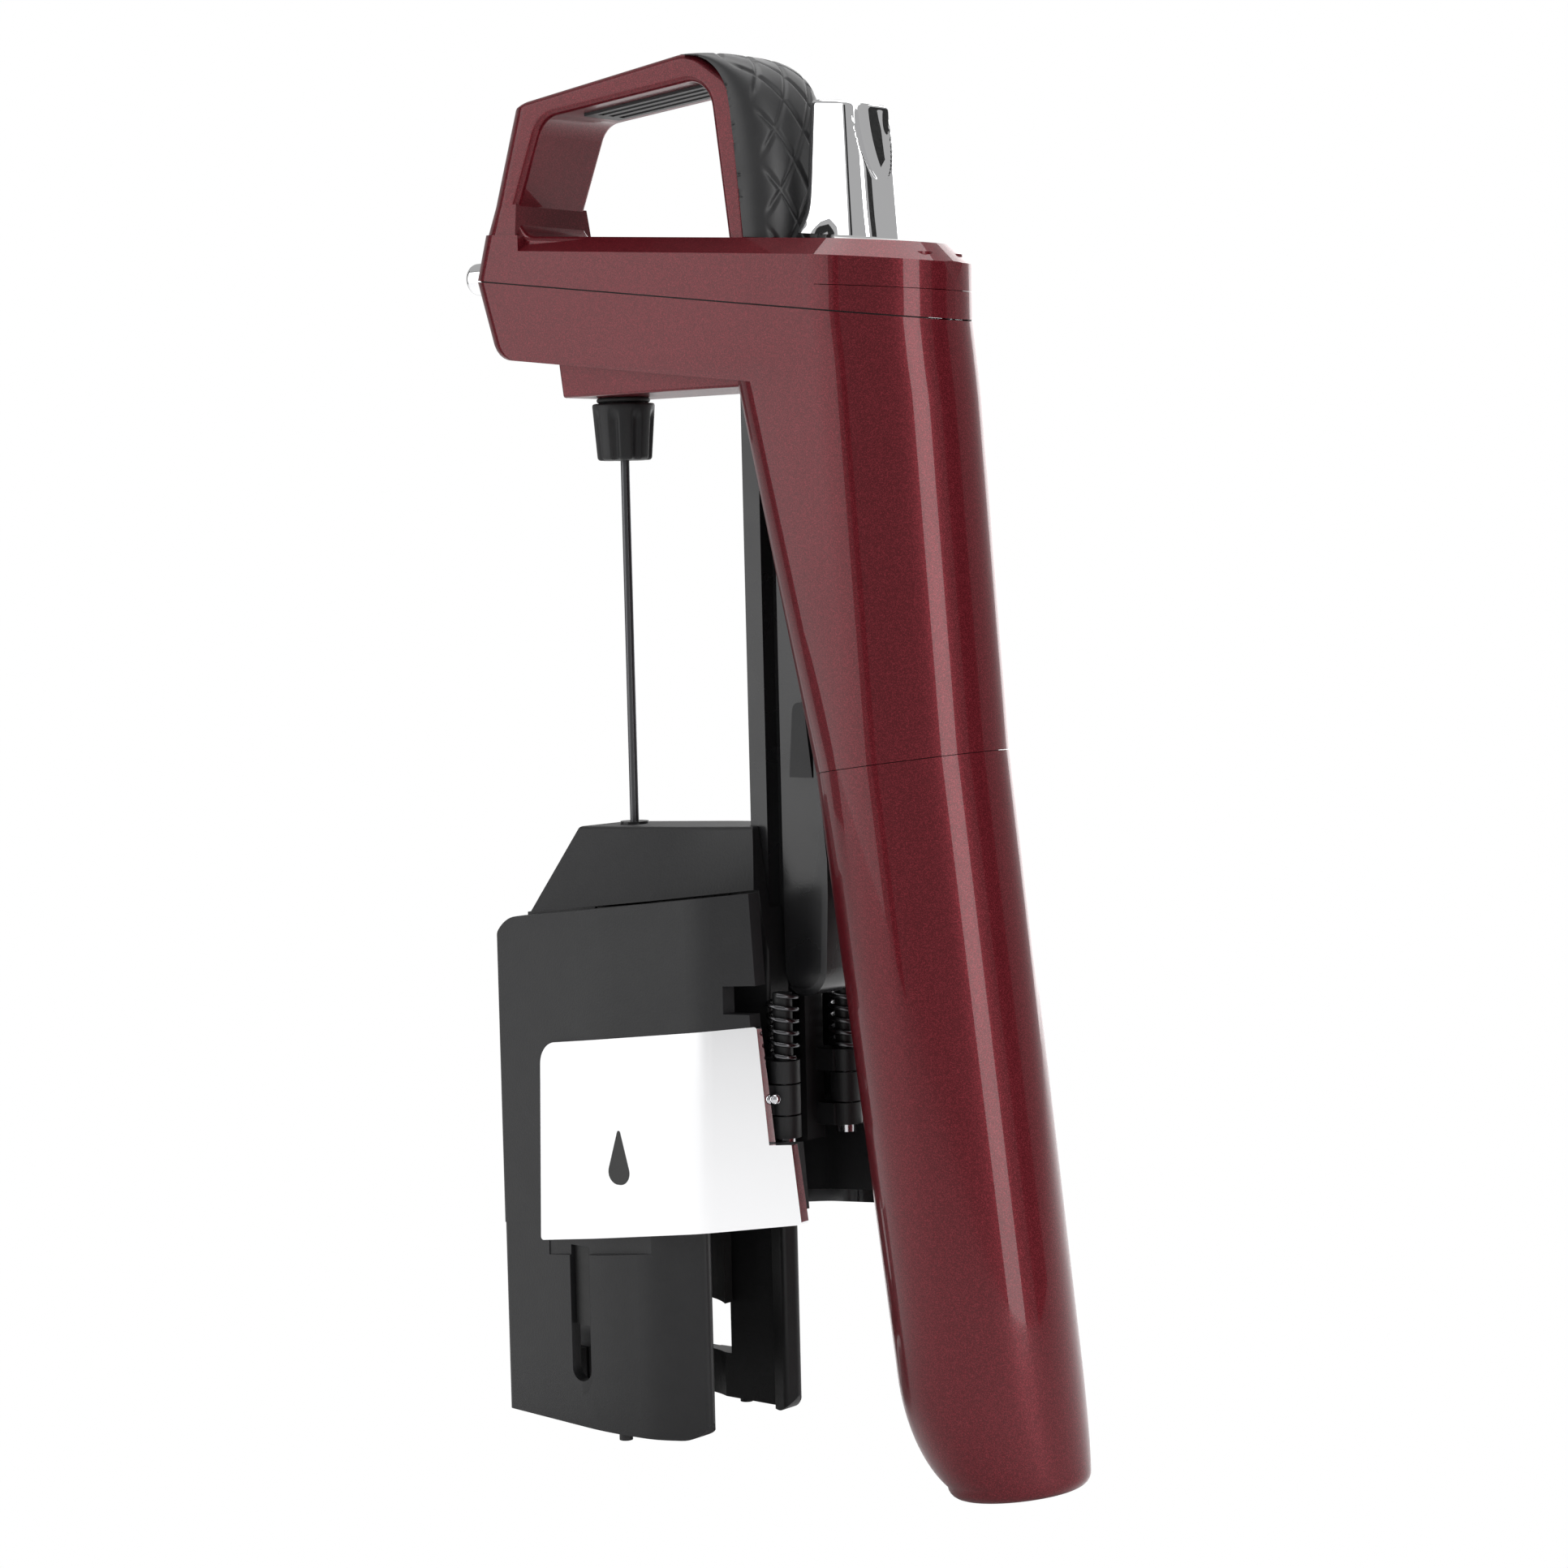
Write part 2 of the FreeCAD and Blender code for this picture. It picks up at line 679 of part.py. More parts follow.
# ---------------------------------------------------------------- needle
def needle_hub():
    """Knurled plastic grip on the needle: a fluted cone with a threaded neck."""
    height = hub_top_z - hub_bottom_z
    body = Part.makeCone(hub_bottom_radius, hub_top_radius, height, Vector(0, 0, hub_bottom_z))
    body = soften(body, 0.7, lambda e: abs(e.CenterOfMass.z - hub_bottom_z) < 0.01)
    flute_circle = hub_bottom_radius + 1.05
    for index in range(hub_flutes):
        angle = 2 * math.pi * (index + 0.5) / hub_flutes
        x, y = flute_circle * math.cos(angle), flute_circle * math.sin(angle)
        foot = Vector(x, y, hub_bottom_z - 1.0)
        head = Vector(x * 1.10, y * 1.10, hub_top_z - 1.1)
        body = body.cut(rod(1.5, foot, head))
    neck = upright(thread_radius - running_gap, 0, 0, hub_top_z, 159.5)
    neck = neck.cut(upright(thread_radius + 1, 0, 0, 154.0, 154.6).cut(upright(3.3, 0, 0, 153.0, 155.0)))
    body = body.fuse(neck)
    return body.cut(upright(needle_radius + 0.01, 0, 0, 140.0, 157.0))


def needle():
    """Hollow steel needle, closed at its point, with a side port just above it."""
    body = upright(needle_radius, 0, 0, needle_tip_z + 2.0, 157.0)
    body = body.fuse(Part.makeCone(0.05, needle_radius, 2.0, Vector(0, 0, needle_tip_z)))
    body = body.cut(upright(0.45, 0, 0, needle_tip_z + 3.0, 160.0))
    return body.cut(rod(0.35, Vector(-2, 0, needle_tip_z + 4.0), Vector(0, 0, needle_tip_z + 4.0)))


def needle_socket():
    body = upright(socket_radius - 0.02, 0, 0, boss_bottom_z + 0.1, 166.0)
    body = body.cut(upright(thread_radius, 0, 0, 150.0, 160.4))
    body = body.cut(upright(4.7, 0, 0, 150.0, boss_bottom_z + 1.3))
    return body.cut(upright(1.0, 0, 0, 150.0, 170.0))


def needle_seal():
    seal_z = boss_bottom_z - 0.45
    return Part.makeTorus(4.35, 0.45, Vector(0, 0, seal_z), Vector(0, 0, 1))


# ---------------------------------------------------------------- guide rail
def guide_rail():
    """I-shaped rail: a front flange the slider runs on, a thin web and a wide back plate."""
    flange_back = rail_front_x + rail_flange_depth
    high = rail_top_z
    flange = side_prism([
        (rail_front_x, rail_bottom_z + 5.0, 1.5),
        (flange_back, rail_bottom_z + 5.0),
        (flange_back, high),
        (rail_front_x, high),
    ], rail_flange_half_width)
    web = box(flange_back - 0.5, rail_spine_x + 0.5, -rail_web_half_width, rail_web_half_width,
              rail_bottom_z + 6.0, high)
    spine = side_prism([
        (rail_spine_x, rail_bottom_z, 4.6),
        (rail_belly_x - 0.8, rail_bottom_z, 5.0),
        (rail_belly_x, 66.0),
        (rail_belly_x, 72.0),
        (rail_back_x, 83.0),
        (rail_back_x, high),
        (rail_spine_x, high),
    ], rail_spine_half_width)
    recess = side_prism([
        (rail_spine_x - 1.0, rail_bottom_z + 1.2, 3.6),
        (rail_belly_x - 2.1, rail_bottom_z + 1.2, 4.0),
        (rail_belly_x - 1.3, 66.0),
        (rail_belly_x - 1.3, 72.0),
        (rail_back_x - 1.3, 83.0),
        (rail_back_x - 1.3, 152.0),
        (rail_spine_x - 1.0, 152.0),
    ], 10.0)
    spine = spine.cut(recess.cut(box(0, 99, -3.9, 3.9, 0, 200)))
    return joined([flange, web, spine])


def rail_plate(side):
    """Small wear plate let into the side of the rail beside the ring line."""
    inner, outer = side * 3.9, side * 4.75
    plate = side_prism([
        (40.2, 86.2),
        (45.2, 86.2),
        (43.6, 99.0),
        (41.2, 99.0, 1.4),
    ], abs(outer - inner) / 2, (inner + outer) / 2)
    return plate


def rail_stop():
    """Stop block under the rail's front flange that ends the slider's way down."""
    bottom = rail_bottom_z + 5.0
    low_x, high_x = rail_front_x + 0.2, rail_front_x + 3.2
    block = box(low_x, high_x, -stop_half_width, stop_half_width, bottom - 3.0, bottom)
    screw = rod(1.0, Vector(rail_front_x + 1.7, 0, bottom - 3.4), Vector(rail_front_x + 1.7, 0, bottom))
    return block.fuse(screw)


# ---------------------------------------------------------------- slider (carriage)
def slider_cap():
    """Top of the slider: a four-sided hood that narrows to the needle guide."""
    def ring(front, side_x, side, back, back_half, level, slope):
        points = [(front, -side * 0.86), (side_x, -side), (back, -back_half),
                  (back, back_half), (side_x, side), (front, side * 0.86)]
        return outline(points, lambda x, y: Vector(x, y, plane_z(level, slope, x)))
    low = ring(-14.6, 16.0, 14.6, 36.0, 8.6, shoulder_z + arm_gap, shoulder_slope)
    high = ring(-7.6, 17.0, 7.4, 33.4, 6.8, cap_top_z, 0.03)
    hood = Part.makeLoft([low, high], True, True)
    return soften(hood, 0.8, lambda e: e.BoundBox.ZMin > 74.0)


def slider_whole():
    """Hood, guide and spine of the slider, before they are parted into two mouldings."""
    spine = plan_prism([
        (28.0, -slider_half_width, 1.0),
        (slider_back_x, -slider_half_width, 0.6),
        (slider_back_x, slider_half_width, 0.6),
        (28.0, slider_half_width, 1.0),
    ], slider_bottom_z, 70.0)
    slant = side_prism([
        (20.0, 10.0), (slider_back_x, 10.0), (slider_back_x, 56.0), (33.2, 78.5), (20.0, 78.5),
    ], 20.0)
    guide = upright(13.1, 0, 0, 46.0, shoulder_z + 0.6)
    edge = -14.5
    skirt = side_prism([
        (edge, 56.8), (2.0, 56.8), (2.0, shoulder_z + 0.5),
        (edge, plane_z(shoulder_z, shoulder_slope, edge) + arm_gap + 0.2),
    ], 13.3)
    bridge = box(4.0, 29.0, -6.0, 6.0, 46.0, 66.0)
    body = slider_cap().fuse([spine, guide, skirt, bridge]).common(slant.fuse(box(-60, 21, -40, 40, 0, 90)))
    for side in (-1, 1):
        for low, high in ((knuckle_bottom_z, knuckle_split_low), (knuckle_split_high, knuckle_top_z)):
            y = side * hinge_y
            body = body.fuse(upright(knuckle_radius, hinge_x, y, low, high))
            y0, y1 = sorted((side * 4.9, side * hinge_y))
            body = body.fuse(box(slider_back_x - 2.0, hinge_x, y0, y1, low, high))
    body = body.cut(slider_channel())
    for side in (-1, 1):
        body = body.cut(upright(hinge_pin_radius + 0.01, hinge_x, side * hinge_y, 20.0, 36.6))
    body = body.cut(upright(bush_radius, 0, 0, bush_low, 90.0))
    body = body.cut(upright(1.6, 0, 0, 40.0, bush_low + 1.0))
    return body.removeSplitter()


def spine_zone():
    """Where the spine's moulding is; everything else of the slider is the hood's."""
    return box(27.9, 60.0, -40, 40, 0, 59.6)


bush_radius = 2.6
bush_low = 68.0


def slider_channel():
    """T-shaped channel for the rail's flange and web, open to the back.

    Its lower part is wider, so the stop block passes; the step between the two lands on the stop.
    """
    gap = guide_gap
    flange = rail_flange_half_width + gap
    web = rail_web_half_width + gap
    front = rail_front_x - gap
    flange_back = rail_front_x + rail_flange_depth + gap
    low = slider_bottom_z - 1.0
    stop = stop_half_width + guide_gap
    pieces = [
        box(front, flange_back, -flange, flange, low, 90.0),
        box(flange_back - 0.5, 60.0, -web, web, low, 90.0),
        box(front, flange_back, -stop, stop, low, rail_bottom_z + 5.0 + guide_gap),
    ]
    return joined(pieces)


def needle_bush():
    top = plane_z(cap_top_z, 0.03, 0.0)
    return tube(bush_radius - 0.02, needle_radius + running_gap, Vector(0, 0, bush_low), Vector(0, 0, top + 0.5))


def lip_pad():
    """Soft disc that lands on the bottle's lip."""
    pad = tube(12.6, 3.0, Vector(0, 0, 43.4), Vector(0, 0, 46.0))
    return soften(pad, 0.6, lambda e: abs(e.CenterOfMass.z - 43.4) < 0.01)


def slide_pad(side):
    """Low-friction strip between the slider's channel and the rail's flange."""
    y0 = side * (rail_flange_half_width + 0.05)
    y1 = side * (rail_flange_half_width + guide_gap)
    low, high = sorted((y0, y1))
    return box(rail_front_x + 0.4, rail_front_x + 3.2, low, high, 54.0, 64.0)


def hinge_pin(side):
    pin = upright(hinge_pin_radius, hinge_x, side * hinge_y, knuckle_bottom_z - 0.6, 36.4)
    head = upright(hinge_pin_radius + 0.7, hinge_x, side * hinge_y, knuckle_bottom_z - 1.4, knuckle_bottom_z)
    return pin.fuse(head)


def arm_spring(side):
    """Torsion spring on top of the hinge: its legs press the arm shut."""
    base = Vector(hinge_x, side * hinge_y, knuckle_top_z + 0.5)
    spring = coil(2.45, 0.42, 2.1, 5.0, base, Vector(0, 0, 1))
    return spring


def spring_post(side):
    """Post that the torsion spring is wound on."""
    return upright(1.7, hinge_x, side * hinge_y, knuckle_top_z, knuckle_top_z + 11.6)


# ---------------------------------------------------------------- arms
def arm_side_limits():
    """Side view of an arm: rounded front shoulder, top that rises to the back, notch for the spring."""
    return [
        (arm_front_x, arm_bottom_z - 2),
        (arm_front_x, plane_z(shoulder_z, shoulder_slope, arm_front_x), 8.0),
        (38.7, plane_z(shoulder_z, shoulder_slope, 38.7)),
        (39.5, 51.2),
        (33.9, 51.0),
        (33.9, 46.2),
        (38.4, 46.2),
        (39.9, 24.0),
        (45.6, 24.4),
        (46.6, 10.0),
        (60.0, arm_bottom_z - 2),
    ]


def arm_upper():
    """Left arm above its foot: the flat side that carries the plaque."""
    low_z, high_z = 6.5, 80.0
    plan = [
        (arm_front_x, -0.35),
        (arm_front_x + 0.9, -15.2, 1.2),
        (6.0, -arm_half_width, 55.0),
        (29.5, -18.0, 16.0),
        (47.6, -11.6),
        (46.7, -9.6),
        (38.0, -12.2, 3.0),
        (31.0, -14.3, 8.0),
        (16.0, -inner_half_width, 20.0),
        (0.0, -inner_half_width),
        (0.0, -0.35),
    ]
    slant = side_prism([
        (-40.0, plane_z(7.0, 0.128, -40.0)), (60.0, plane_z(7.0, 0.128, 60.0)),
        (60.0, 90.0), (-40.0, 90.0),
    ], 40.0)
    return plan_prism(plan, low_z - 8, high_z).common(slant)


def arm_foot():
    """Left arm's foot: inset under the plaque and wrapped round behind the neck."""
    plan = [
        (arm_front_x, -0.35),
        (arm_front_x + 0.9, -15.0, 1.2),
        (5.5, -arm_half_width + 0.5, 50.0),
        (16.5, -17.4, 14.0),
        (26.0, -12.5, 1.2),
        (24.0, -9.6, 1.0),
        (16.0, -inner_half_width + 0.2, 10.0),
        (0.0, -inner_half_width),
        (0.0, -0.35),
    ]
    foot = plan_prism(plan, arm_bottom_z, 16.0)
    side = side_prism([
        (-40.0, arm_bottom_z), (25.8, arm_bottom_z, 5.0), (25.5, 40.0), (-40.0, 40.0),
    ], 40.0)
    return foot.common(side)


def arm_shell():
    """Left arm with its neck hollow, hinge knuckle, grip slot and recesses."""
    body = arm_foot().fuse(arm_upper()).common(side_prism(arm_side_limits(), 40.0))
    body = body.cut(upright(neck_space_radius, 0, 0, -60.0, shoulder_z - 4.0))
    body = body.cut(upright(13.1 + 1.0, 0, 0, 40.0, 80.0))
    body = body.cut(box(0.0, 31.0, -inner_half_width + 0.1, 1.0, 16.1, 90.0))
    body = body.cut(box(0.0, 20.0, -inner_half_width + 0.1, 1.0, -60.0, 16.2))
    body = body.cut(box(-15.8, 4.0, -inner_half_width, inner_half_width, 56.2, 80.0))
    knuckle = upright(knuckle_radius, hinge_x, -hinge_y, knuckle_split_low + 0.3, knuckle_split_high - 0.3)
    strap = box(33.0, hinge_x, -13.2, -hinge_y - 0.6, knuckle_split_low + 0.3, knuckle_split_high - 0.3)
    strap = strap.cut(box(30.0, 38.0, -10.4, 0.0, 20.0, 50.0))
    body = body.fuse([knuckle, strap])
    body = body.cut(upright(hinge_pin_radius + running_gap, hinge_x, -hinge_y, 20.0, 60.0))
    body = body.cut(grip_slot())
    body = body.cut(front_window())
    body = body.cut(plaque_solid(0.02, fill=6.0))
    body = body.cut(pad_pocket()).cut(stop_pin())
    nub = upright(1.2, 9.0, -16.6, arm_bottom_z - 1.1, arm_bottom_z + 1.0)
    body = body.fuse(nub)
    return keep_solids(body.removeSplitter())


def grip_slot():
    """Slot through the arm's side below the plaque, in a shallow outer recess."""
    recess = side_prism([
        (-6.9, 4.0), (-6.9, -24.8, 4.5), (2.4, -24.8, 4.5), (2.4, 4.0),
    ], 1.2, -arm_half_width)
    through = side_prism([
        (-2.9, 2.5), (-2.9, -21.8, 2.2), (1.9, -21.8, 2.2), (1.9, 2.5),
    ], 6.0, -arm_half_width)
    return recess.fuse(through)


def wide_window():
    """The right arm's larger window, flared towards the neck."""
    window = plan_prism([
        (-3.6, 22.0), (-2.6, 12.0), (9.2, 12.0), (4.8, 18.6), (4.8, 22.0),
    ], -30.0, 20.0)
    return window.common(side_prism([
        (-10.0, 4.3), (-10.0, -21.8, 3.0), (12.0, -21.8, 3.0), (12.0, 4.3),
    ], 40.0))


def front_window():
    """Oval opening where the two arms meet in front, to see the neck."""
    oval = rod(5.0, Vector(-40, 0, -8.0), Vector(-10, 0, -8.0))
    oval = oval.fuse(rod(5.0, Vector(-40, 0, -16.0), Vector(-10, 0, -16.0)))
    return oval.fuse(box(-40, -10, -5.0, 5.0, -16.0, -8.0))


def plaque_outline():
    """Side view of the plaque, parallel to the ring line."""
    return [
        (-8.4, 3.0, 0.6),
        (-8.0, 38.4, 4.2),
        (39.6, 44.2, 0.5),
        (41.6, 24.0),
        (45.4, 24.2),
        (47.0, 10.6, 0.6),
    ]


def plaque_solid(grow=0.0, fill=0.0):
    """Chrome plate that follows the arm's side and stands out more towards its lower edge."""
    def curve(out, level):
        points = [
            (-30.0, -16.1 - out), (6.0, -arm_half_width - out, 55.0), (29.5, -18.0 - out, 16.0),
            (48.6, -11.2 - out), (48.6, -11.2 + plaque_thickness - 0.2),
            (29.5, -18.0 + plaque_thickness, 15.0),
            (6.0, -arm_half_width + plaque_thickness, 54.0), (-30.0, -16.1 + plaque_thickness),
        ]
        return outline(points, lambda x, y: Vector(x, y, level))
    band = Part.makeLoft([curve(plaque_flare + 0.3 + fill, 0.0), curve(0.05 + fill, 46.0)], True, True)
    side = [(p[0] - grow if p[0] < 0 else p[0] + grow,) + p[1:] for p in plaque_outline()]
    if fill:
        side = [
            (-8.45 - grow, 0.0), (-8.0 - grow, 38.4 + grow, 4.2), (39.6 + 9.0, 44.2 + grow + 1.1),
            (47.0 + 9.0, 10.6 - 3.0),
        ]
    return band.common(side_prism(side, 40.0))


def plaque_mark():
    """Plain drop-shaped badge, let into the plaque."""
    drop = side_prism([(8.2, 15.0, 2.2), (14.6, 15.0, 2.2), (11.4, 25.5, 0.4)], 4.0, -20.0)
    return drop


def pad_pocket():
    """Recess in the arm's inside for the neck pad."""
    half = pad_height / 2 + 0.02
    ring = upright(pad_radius + pad_backing + 0.02, 0, 0, -half, half)
    return ring.common(box(-11.2, 9.2, -20, -6.0, -half, half))


def neck_pad():
    """Rubber pad, part of a cylinder about the needle's axis, with two grip grooves."""
    half = pad_height / 2
    pad = upright(pad_radius + pad_backing, 0, 0, -half, half).cut(upright(pad_radius, 0, 0, -20, 20))
    pad = pad.common(box(-11.0, 9.0, -20, -6.2, -half, half))
    return pad


def stop_pin():
    """Steel ball-ended pin in the arm that the spring's leg bears on."""
    pin = rod(0.7, Vector(36.6, -11.9, 31.6), Vector(41.3, -11.9, 31.6))
    return pin.fuse(Part.makeSphere(1.0, Vector(41.3, -11.9, 31.6)))


# ---------------------------------------------------------------- gas cup
def cup_outer(inset, end_gap):
    """Tapered round cup: its front lower corner has a big round, its back corner a tight one."""
    sections = []
    steps = 7
    end = cup_length - end_gap
    start_round = cup_length - cup_front_round
    taper = (body_radius - cup_end_radius) / cup_length

    def circle(depth, front_inset):
        radius = body_radius - taper * depth - inset - front_inset / 2
        centre = on_axis(-depth, front_inset / 2, 0.0)
        return Part.Wire(Part.makeCircle(radius, centre, axis_up))

    sections.append(circle(parting_gap, 0.0))
    sections.append(circle(start_round, 0.0))
    straight = Part.makeLoft(sections, True, True)
    curved = [circle(start_round, 0.0)]
    for index in range(1, steps + 1):
        angle = math.pi / 2 * index / steps * 0.93
        depth = start_round + (end - start_round) * math.sin(angle) / math.sin(math.pi / 2 * 0.93)
        front_inset = cup_front_inset * (1 - math.cos(angle))
        curved.append(circle(depth, front_inset))
    rounded_end = Part.makeLoft(curved, True, False)
    return straight.fuse(rounded_end)


def gas_cup():
    """Painted cup with a threaded neck at its top and a hollow for the capsule."""
    body = cup_outer(0.0, 0.0)
    body = soften(body, 2.2, lambda e: e.CenterOfMass.distanceToPoint(on_axis(-cup_length)) < 8.0
                  and e.Closed)
    body = body.fuse(axis_rod(cup_neck_radius, -1.0, cup_neck_height))
    hollow = axis_rod(capsule_radius + 0.9, -(cup_length - 13.0), cup_neck_height + 1.0)
    return keep_solids(body.cut(hollow).removeSplitter())


def cup_liner():
    """Metal sleeve in the cup that carries the thread."""
    outer = capsule_radius + 0.88
    inner = capsule_radius + 0.25
    return axis_tube(outer, inner, -40.0, cup_neck_height)


def capsule_rest():
    """Ribbed plastic seat under the capsule."""
    bottom = -(cup_length - 13.0)
    top = capsule_top - capsule_length - 5.2
    seat = axis_tube(capsule_radius + 0.85, capsule_radius - 3.0, bottom, top)
    floor = axis_rod(capsule_radius - 2.9, bottom, bottom + 2.0)
    return seat.fuse(floor)


def rest_cushion():
    top = capsule_top - capsule_length - 5.2
    return axis_tube(capsule_radius - 0.5, 4.0, top, top + 1.4)


def gas_capsule():
    """Small steel gas bottle: domed foot, straight side, shoulder and neck."""
    bottom = capsule_top - capsule_length
    shoulder = capsule_top - 15.0
    body = axis_rod(capsule_radius, bottom + 6.0, shoulder)
    body = body.fuse(axis_cone(6.0, capsule_radius, bottom - 3.8, bottom + 6.0))
    body = body.fuse(axis_cone(capsule_radius, capsule_neck_radius, shoulder, shoulder + 8.0))
    body = body.fuse(axis_rod(capsule_neck_radius, shoulder + 8.0, capsule_top))
    body = body.cut(axis_rod(pin_radius + running_gap, capsule_top - 4.0, capsule_top + 1.0))
    inside = axis_rod(capsule_radius - 1.6, bottom + 8.0, shoulder - 1.0)
    return body.cut(inside)


def thread_collar():
    """Metal ring in the leg's lower end that the cup screws into."""
    ring = axis_tube(collar_outer_radius - 0.02, collar_inner_radius, 0.4, 9.1)
    return ring


def ring_seal():
    """Flat washer between the collar and the cup's rim."""
    return axis_tube(collar_outer_radius - 0.1, collar_inner_radius + 0.05, -0.09, 0.38)


def regulator_body():
    """Pressure regulator above the capsule: a stepped metal barrel."""
    body = axis_rod(regulator_radius, regulator_bottom, regulator_top)
    body = body.fuse(axis_rod(8.3, regulator_top, regulator_top + 4.0))
    body = body.cut(axis_rod(7.2, regulator_bottom + 14.0, regulator_top + 5.0))
    body = body.cut(axis_rod(pin_radius, regulator_bottom - 1.0, regulator_bottom + 8.0))
    return body.cut(axis_rod(1.6, regulator_bottom + 7.0, regulator_bottom + 15.0))


def piercing_pin():
    low = capsule_top - 3.0
    tip = axis_cone(0.2, pin_radius - 0.02, low, low + 1.6)
    return tip.fuse(axis_rod(pin_radius - 0.02, low + 1.6, regulator_bottom + 7.6))


def regulator_piston():
    base = regulator_bottom + 15.0
    head = axis_rod(7.1, base, base + 3.0)
    return head.fuse(axis_rod(2.2, base + 3.0, base + 16.0))


def regulator_spring():
    base = on_axis(regulator_bottom + 18.6)
    return coil(4.6, 0.6, 1.95, 7.0, base, axis_up)


def regulator_cap():
    """Screwed cap that closes the barrel over the spring."""
    plug = axis_rod(7.15, regulator_top - 3.0, regulator_top + 4.0)
    flange = axis_rod(8.3, regulator_top + 4.0, regulator_top + 7.0)
    return plug.fuse(flange).cut(axis_rod(2.5, regulator_top - 4.0, regulator_top + 5.0))


# ---------------------------------------------------------------- valve and trigger
valve_low_z = 161.6
valve_high_z = 168.8
valve_front_x = 7.6
valve_back_x = 45.0


def valve_block():
    """Metal block in the head that opens the gas way when the trigger is pressed."""
    block = box(valve_front_x, valve_back_x, -5.6, 5.6, valve_low_z, valve_high_z)
    block = block.cut(rod(2.2, Vector(28.0, 0, stem_z), Vector(60.0, 0, stem_z)))
    block = block.cut(rod(1.0, Vector(0.0, 0, stem_z), Vector(29.0, 0, stem_z)))
    return soften(block, 0.8, lambda e: abs(e.CenterOfMass.y) > 5.5 and e.Length > 20)


def valve_stem():
    stem = rod(2.2 - running_gap, Vector(30.0, 0, stem_z), Vector(46.5, 0, stem_z))
    stem = stem.fuse(rod(1.3, Vector(46.5, 0, stem_z), Vector(collar_x + 2.0, 0, stem_z)))
    return stem.fuse(rod(2.4, Vector(collar_x, 0, stem_z), Vector(collar_x + 2.0, 0, stem_z)))


collar_x = trigger_x + 1.75   # clears the trigger's lever all through its travel


def valve_seal():
    return Part.makeTorus(2.62, 0.45, Vector(valve_back_x + 0.46, 0, stem_z), Vector(1, 0, 0))


def wine_tube():
    """Short tube from the needle socket up to the spout."""
    up = tube(1.9, 1.1, Vector(0, 0, 166.0), Vector(0, 0, spout_z))
    along = rod(1.9, Vector(-13.0, 0, spout_z), Vector(0, 0, spout_z))
    corner = Part.makeSphere(1.9, Vector(0, 0, spout_z))
    body = up.fuse([along, corner])
    body = body.cut(rod(1.1, Vector(-14.0, 0, spout_z), Vector(0, 0, spout_z)))
    return body.cut(rod(1.1, Vector(0, 0, 165.0), Vector(0, 0, spout_z)))


def socket_link():
    """Metal link that carries gas from the valve block to the needle socket."""
    link = box(5.2, valve_front_x, -3.0, 3.0, 161.8, 165.8)
    return link.cut(upright(socket_radius, 0, 0, 150.0, 170.0)).cut(
        rod(0.8, Vector(0, 0, stem_z - 1.4), Vector(20, 0, stem_z - 1.4)))


def gas_tube():
    """Tube from the regulator's cap up past the trigger to the valve block's side."""
    start = on_axis(regulator_top + 7.0)
    side = 8.7
    way = [
        start,
        start + axis_up * 3.0,
        Vector(57.4, side, 153.0),
        Vector(57.4, side, stem_z),
        Vector(fitting_x, side, stem_z),
        Vector(fitting_x, 7.0, stem_z),
    ]
    pieces = []
    for first, last in zip(way[:-1], way[1:]):
        pieces.append(rod(1.5, first, last))
    for knee in way[1:-1]:
        pieces.append(Part.makeSphere(1.5, knee))
    return pieces[0].multiFuse(pieces[1:])


def gas_fitting():
    """Round nut that joins the gas tube to the valve block."""
    return rod(2.5, Vector(fitting_x, 5.6, stem_z), Vector(fitting_x, 7.0, stem_z))


fitting_x = 40.0


def trigger():
    """Chromed thumb trigger: an upright blade with a flared foot, hollowed at the back."""
    height = trigger_top_z - trigger_base_z
    shape = [
        (0.0, 45.3, 60.1, 9.0, 6.3, 4.6),
        (1.6, 45.8, 59.9, 8.1, 6.2, 4.4),
        (3.4, 46.4, 59.7, 7.3, 6.1, 4.2),
        (6.4, 46.7, 59.5, 6.8, 6.0, 4.0),
        (height, 47.4, 58.4, 5.9, 5.7, 3.8),
    ]
    sections = []
    for rise, front, back, front_half, back_half, corner in shape:
        points = [
            (front, -front_half, corner), (back, -back_half, 3.0),
            (back, back_half, 3.0), (front, front_half, corner),
        ]
        level = trigger_base_z + rise
        tilted = [outline(points, lambda x, y: Vector(x, y, plane_z(level, trigger_slope, x - trigger_x)))]
        sections += tilted
    body = Part.makeLoft(sections, True, True)
    body = soften(body, 1.1, lambda e: e.BoundBox.ZMin > trigger_top_z - 1.4)
    scoop = Part.makeSphere(1.0)
    stretch = FreeCAD.Matrix()
    stretch.A11, stretch.A22, stretch.A33 = 6.5, 5.9, 12.0
    scoop = scoop.transformGeometry(stretch)
    scoop.translate(Vector(trigger_x + 10.3, 0, trigger_base_z + 19.6))
    body = body.cut(scoop)
    lever = box(trigger_x - 1.5, trigger_x + 1.5, -3.6, 3.6, stem_z - 2.6, trigger_base_z + 1.0)
    hub = rod(3.0, Vector(trigger_x, -3.6, trigger_pivot_z), Vector(trigger_x, 3.6, trigger_pivot_z))
    body = body.fuse([lever, hub])
    body = body.cut(box(trigger_x - 4, trigger_x + 4, -1.75, 1.75, stem_z - 5.0, stem_z + 1.9))
    pin_hole = rod(trigger_pin_radius + running_gap, Vector(trigger_x, -9, trigger_pivot_z),
                   Vector(trigger_x, 9, trigger_pivot_z))
    return keep_solids(body.cut(pin_hole).removeSplitter())


def trigger_pin():
    return rod(trigger_pin_radius, Vector(trigger_x, -6.4, trigger_pivot_z),
               Vector(trigger_x, 6.4, trigger_pivot_z))


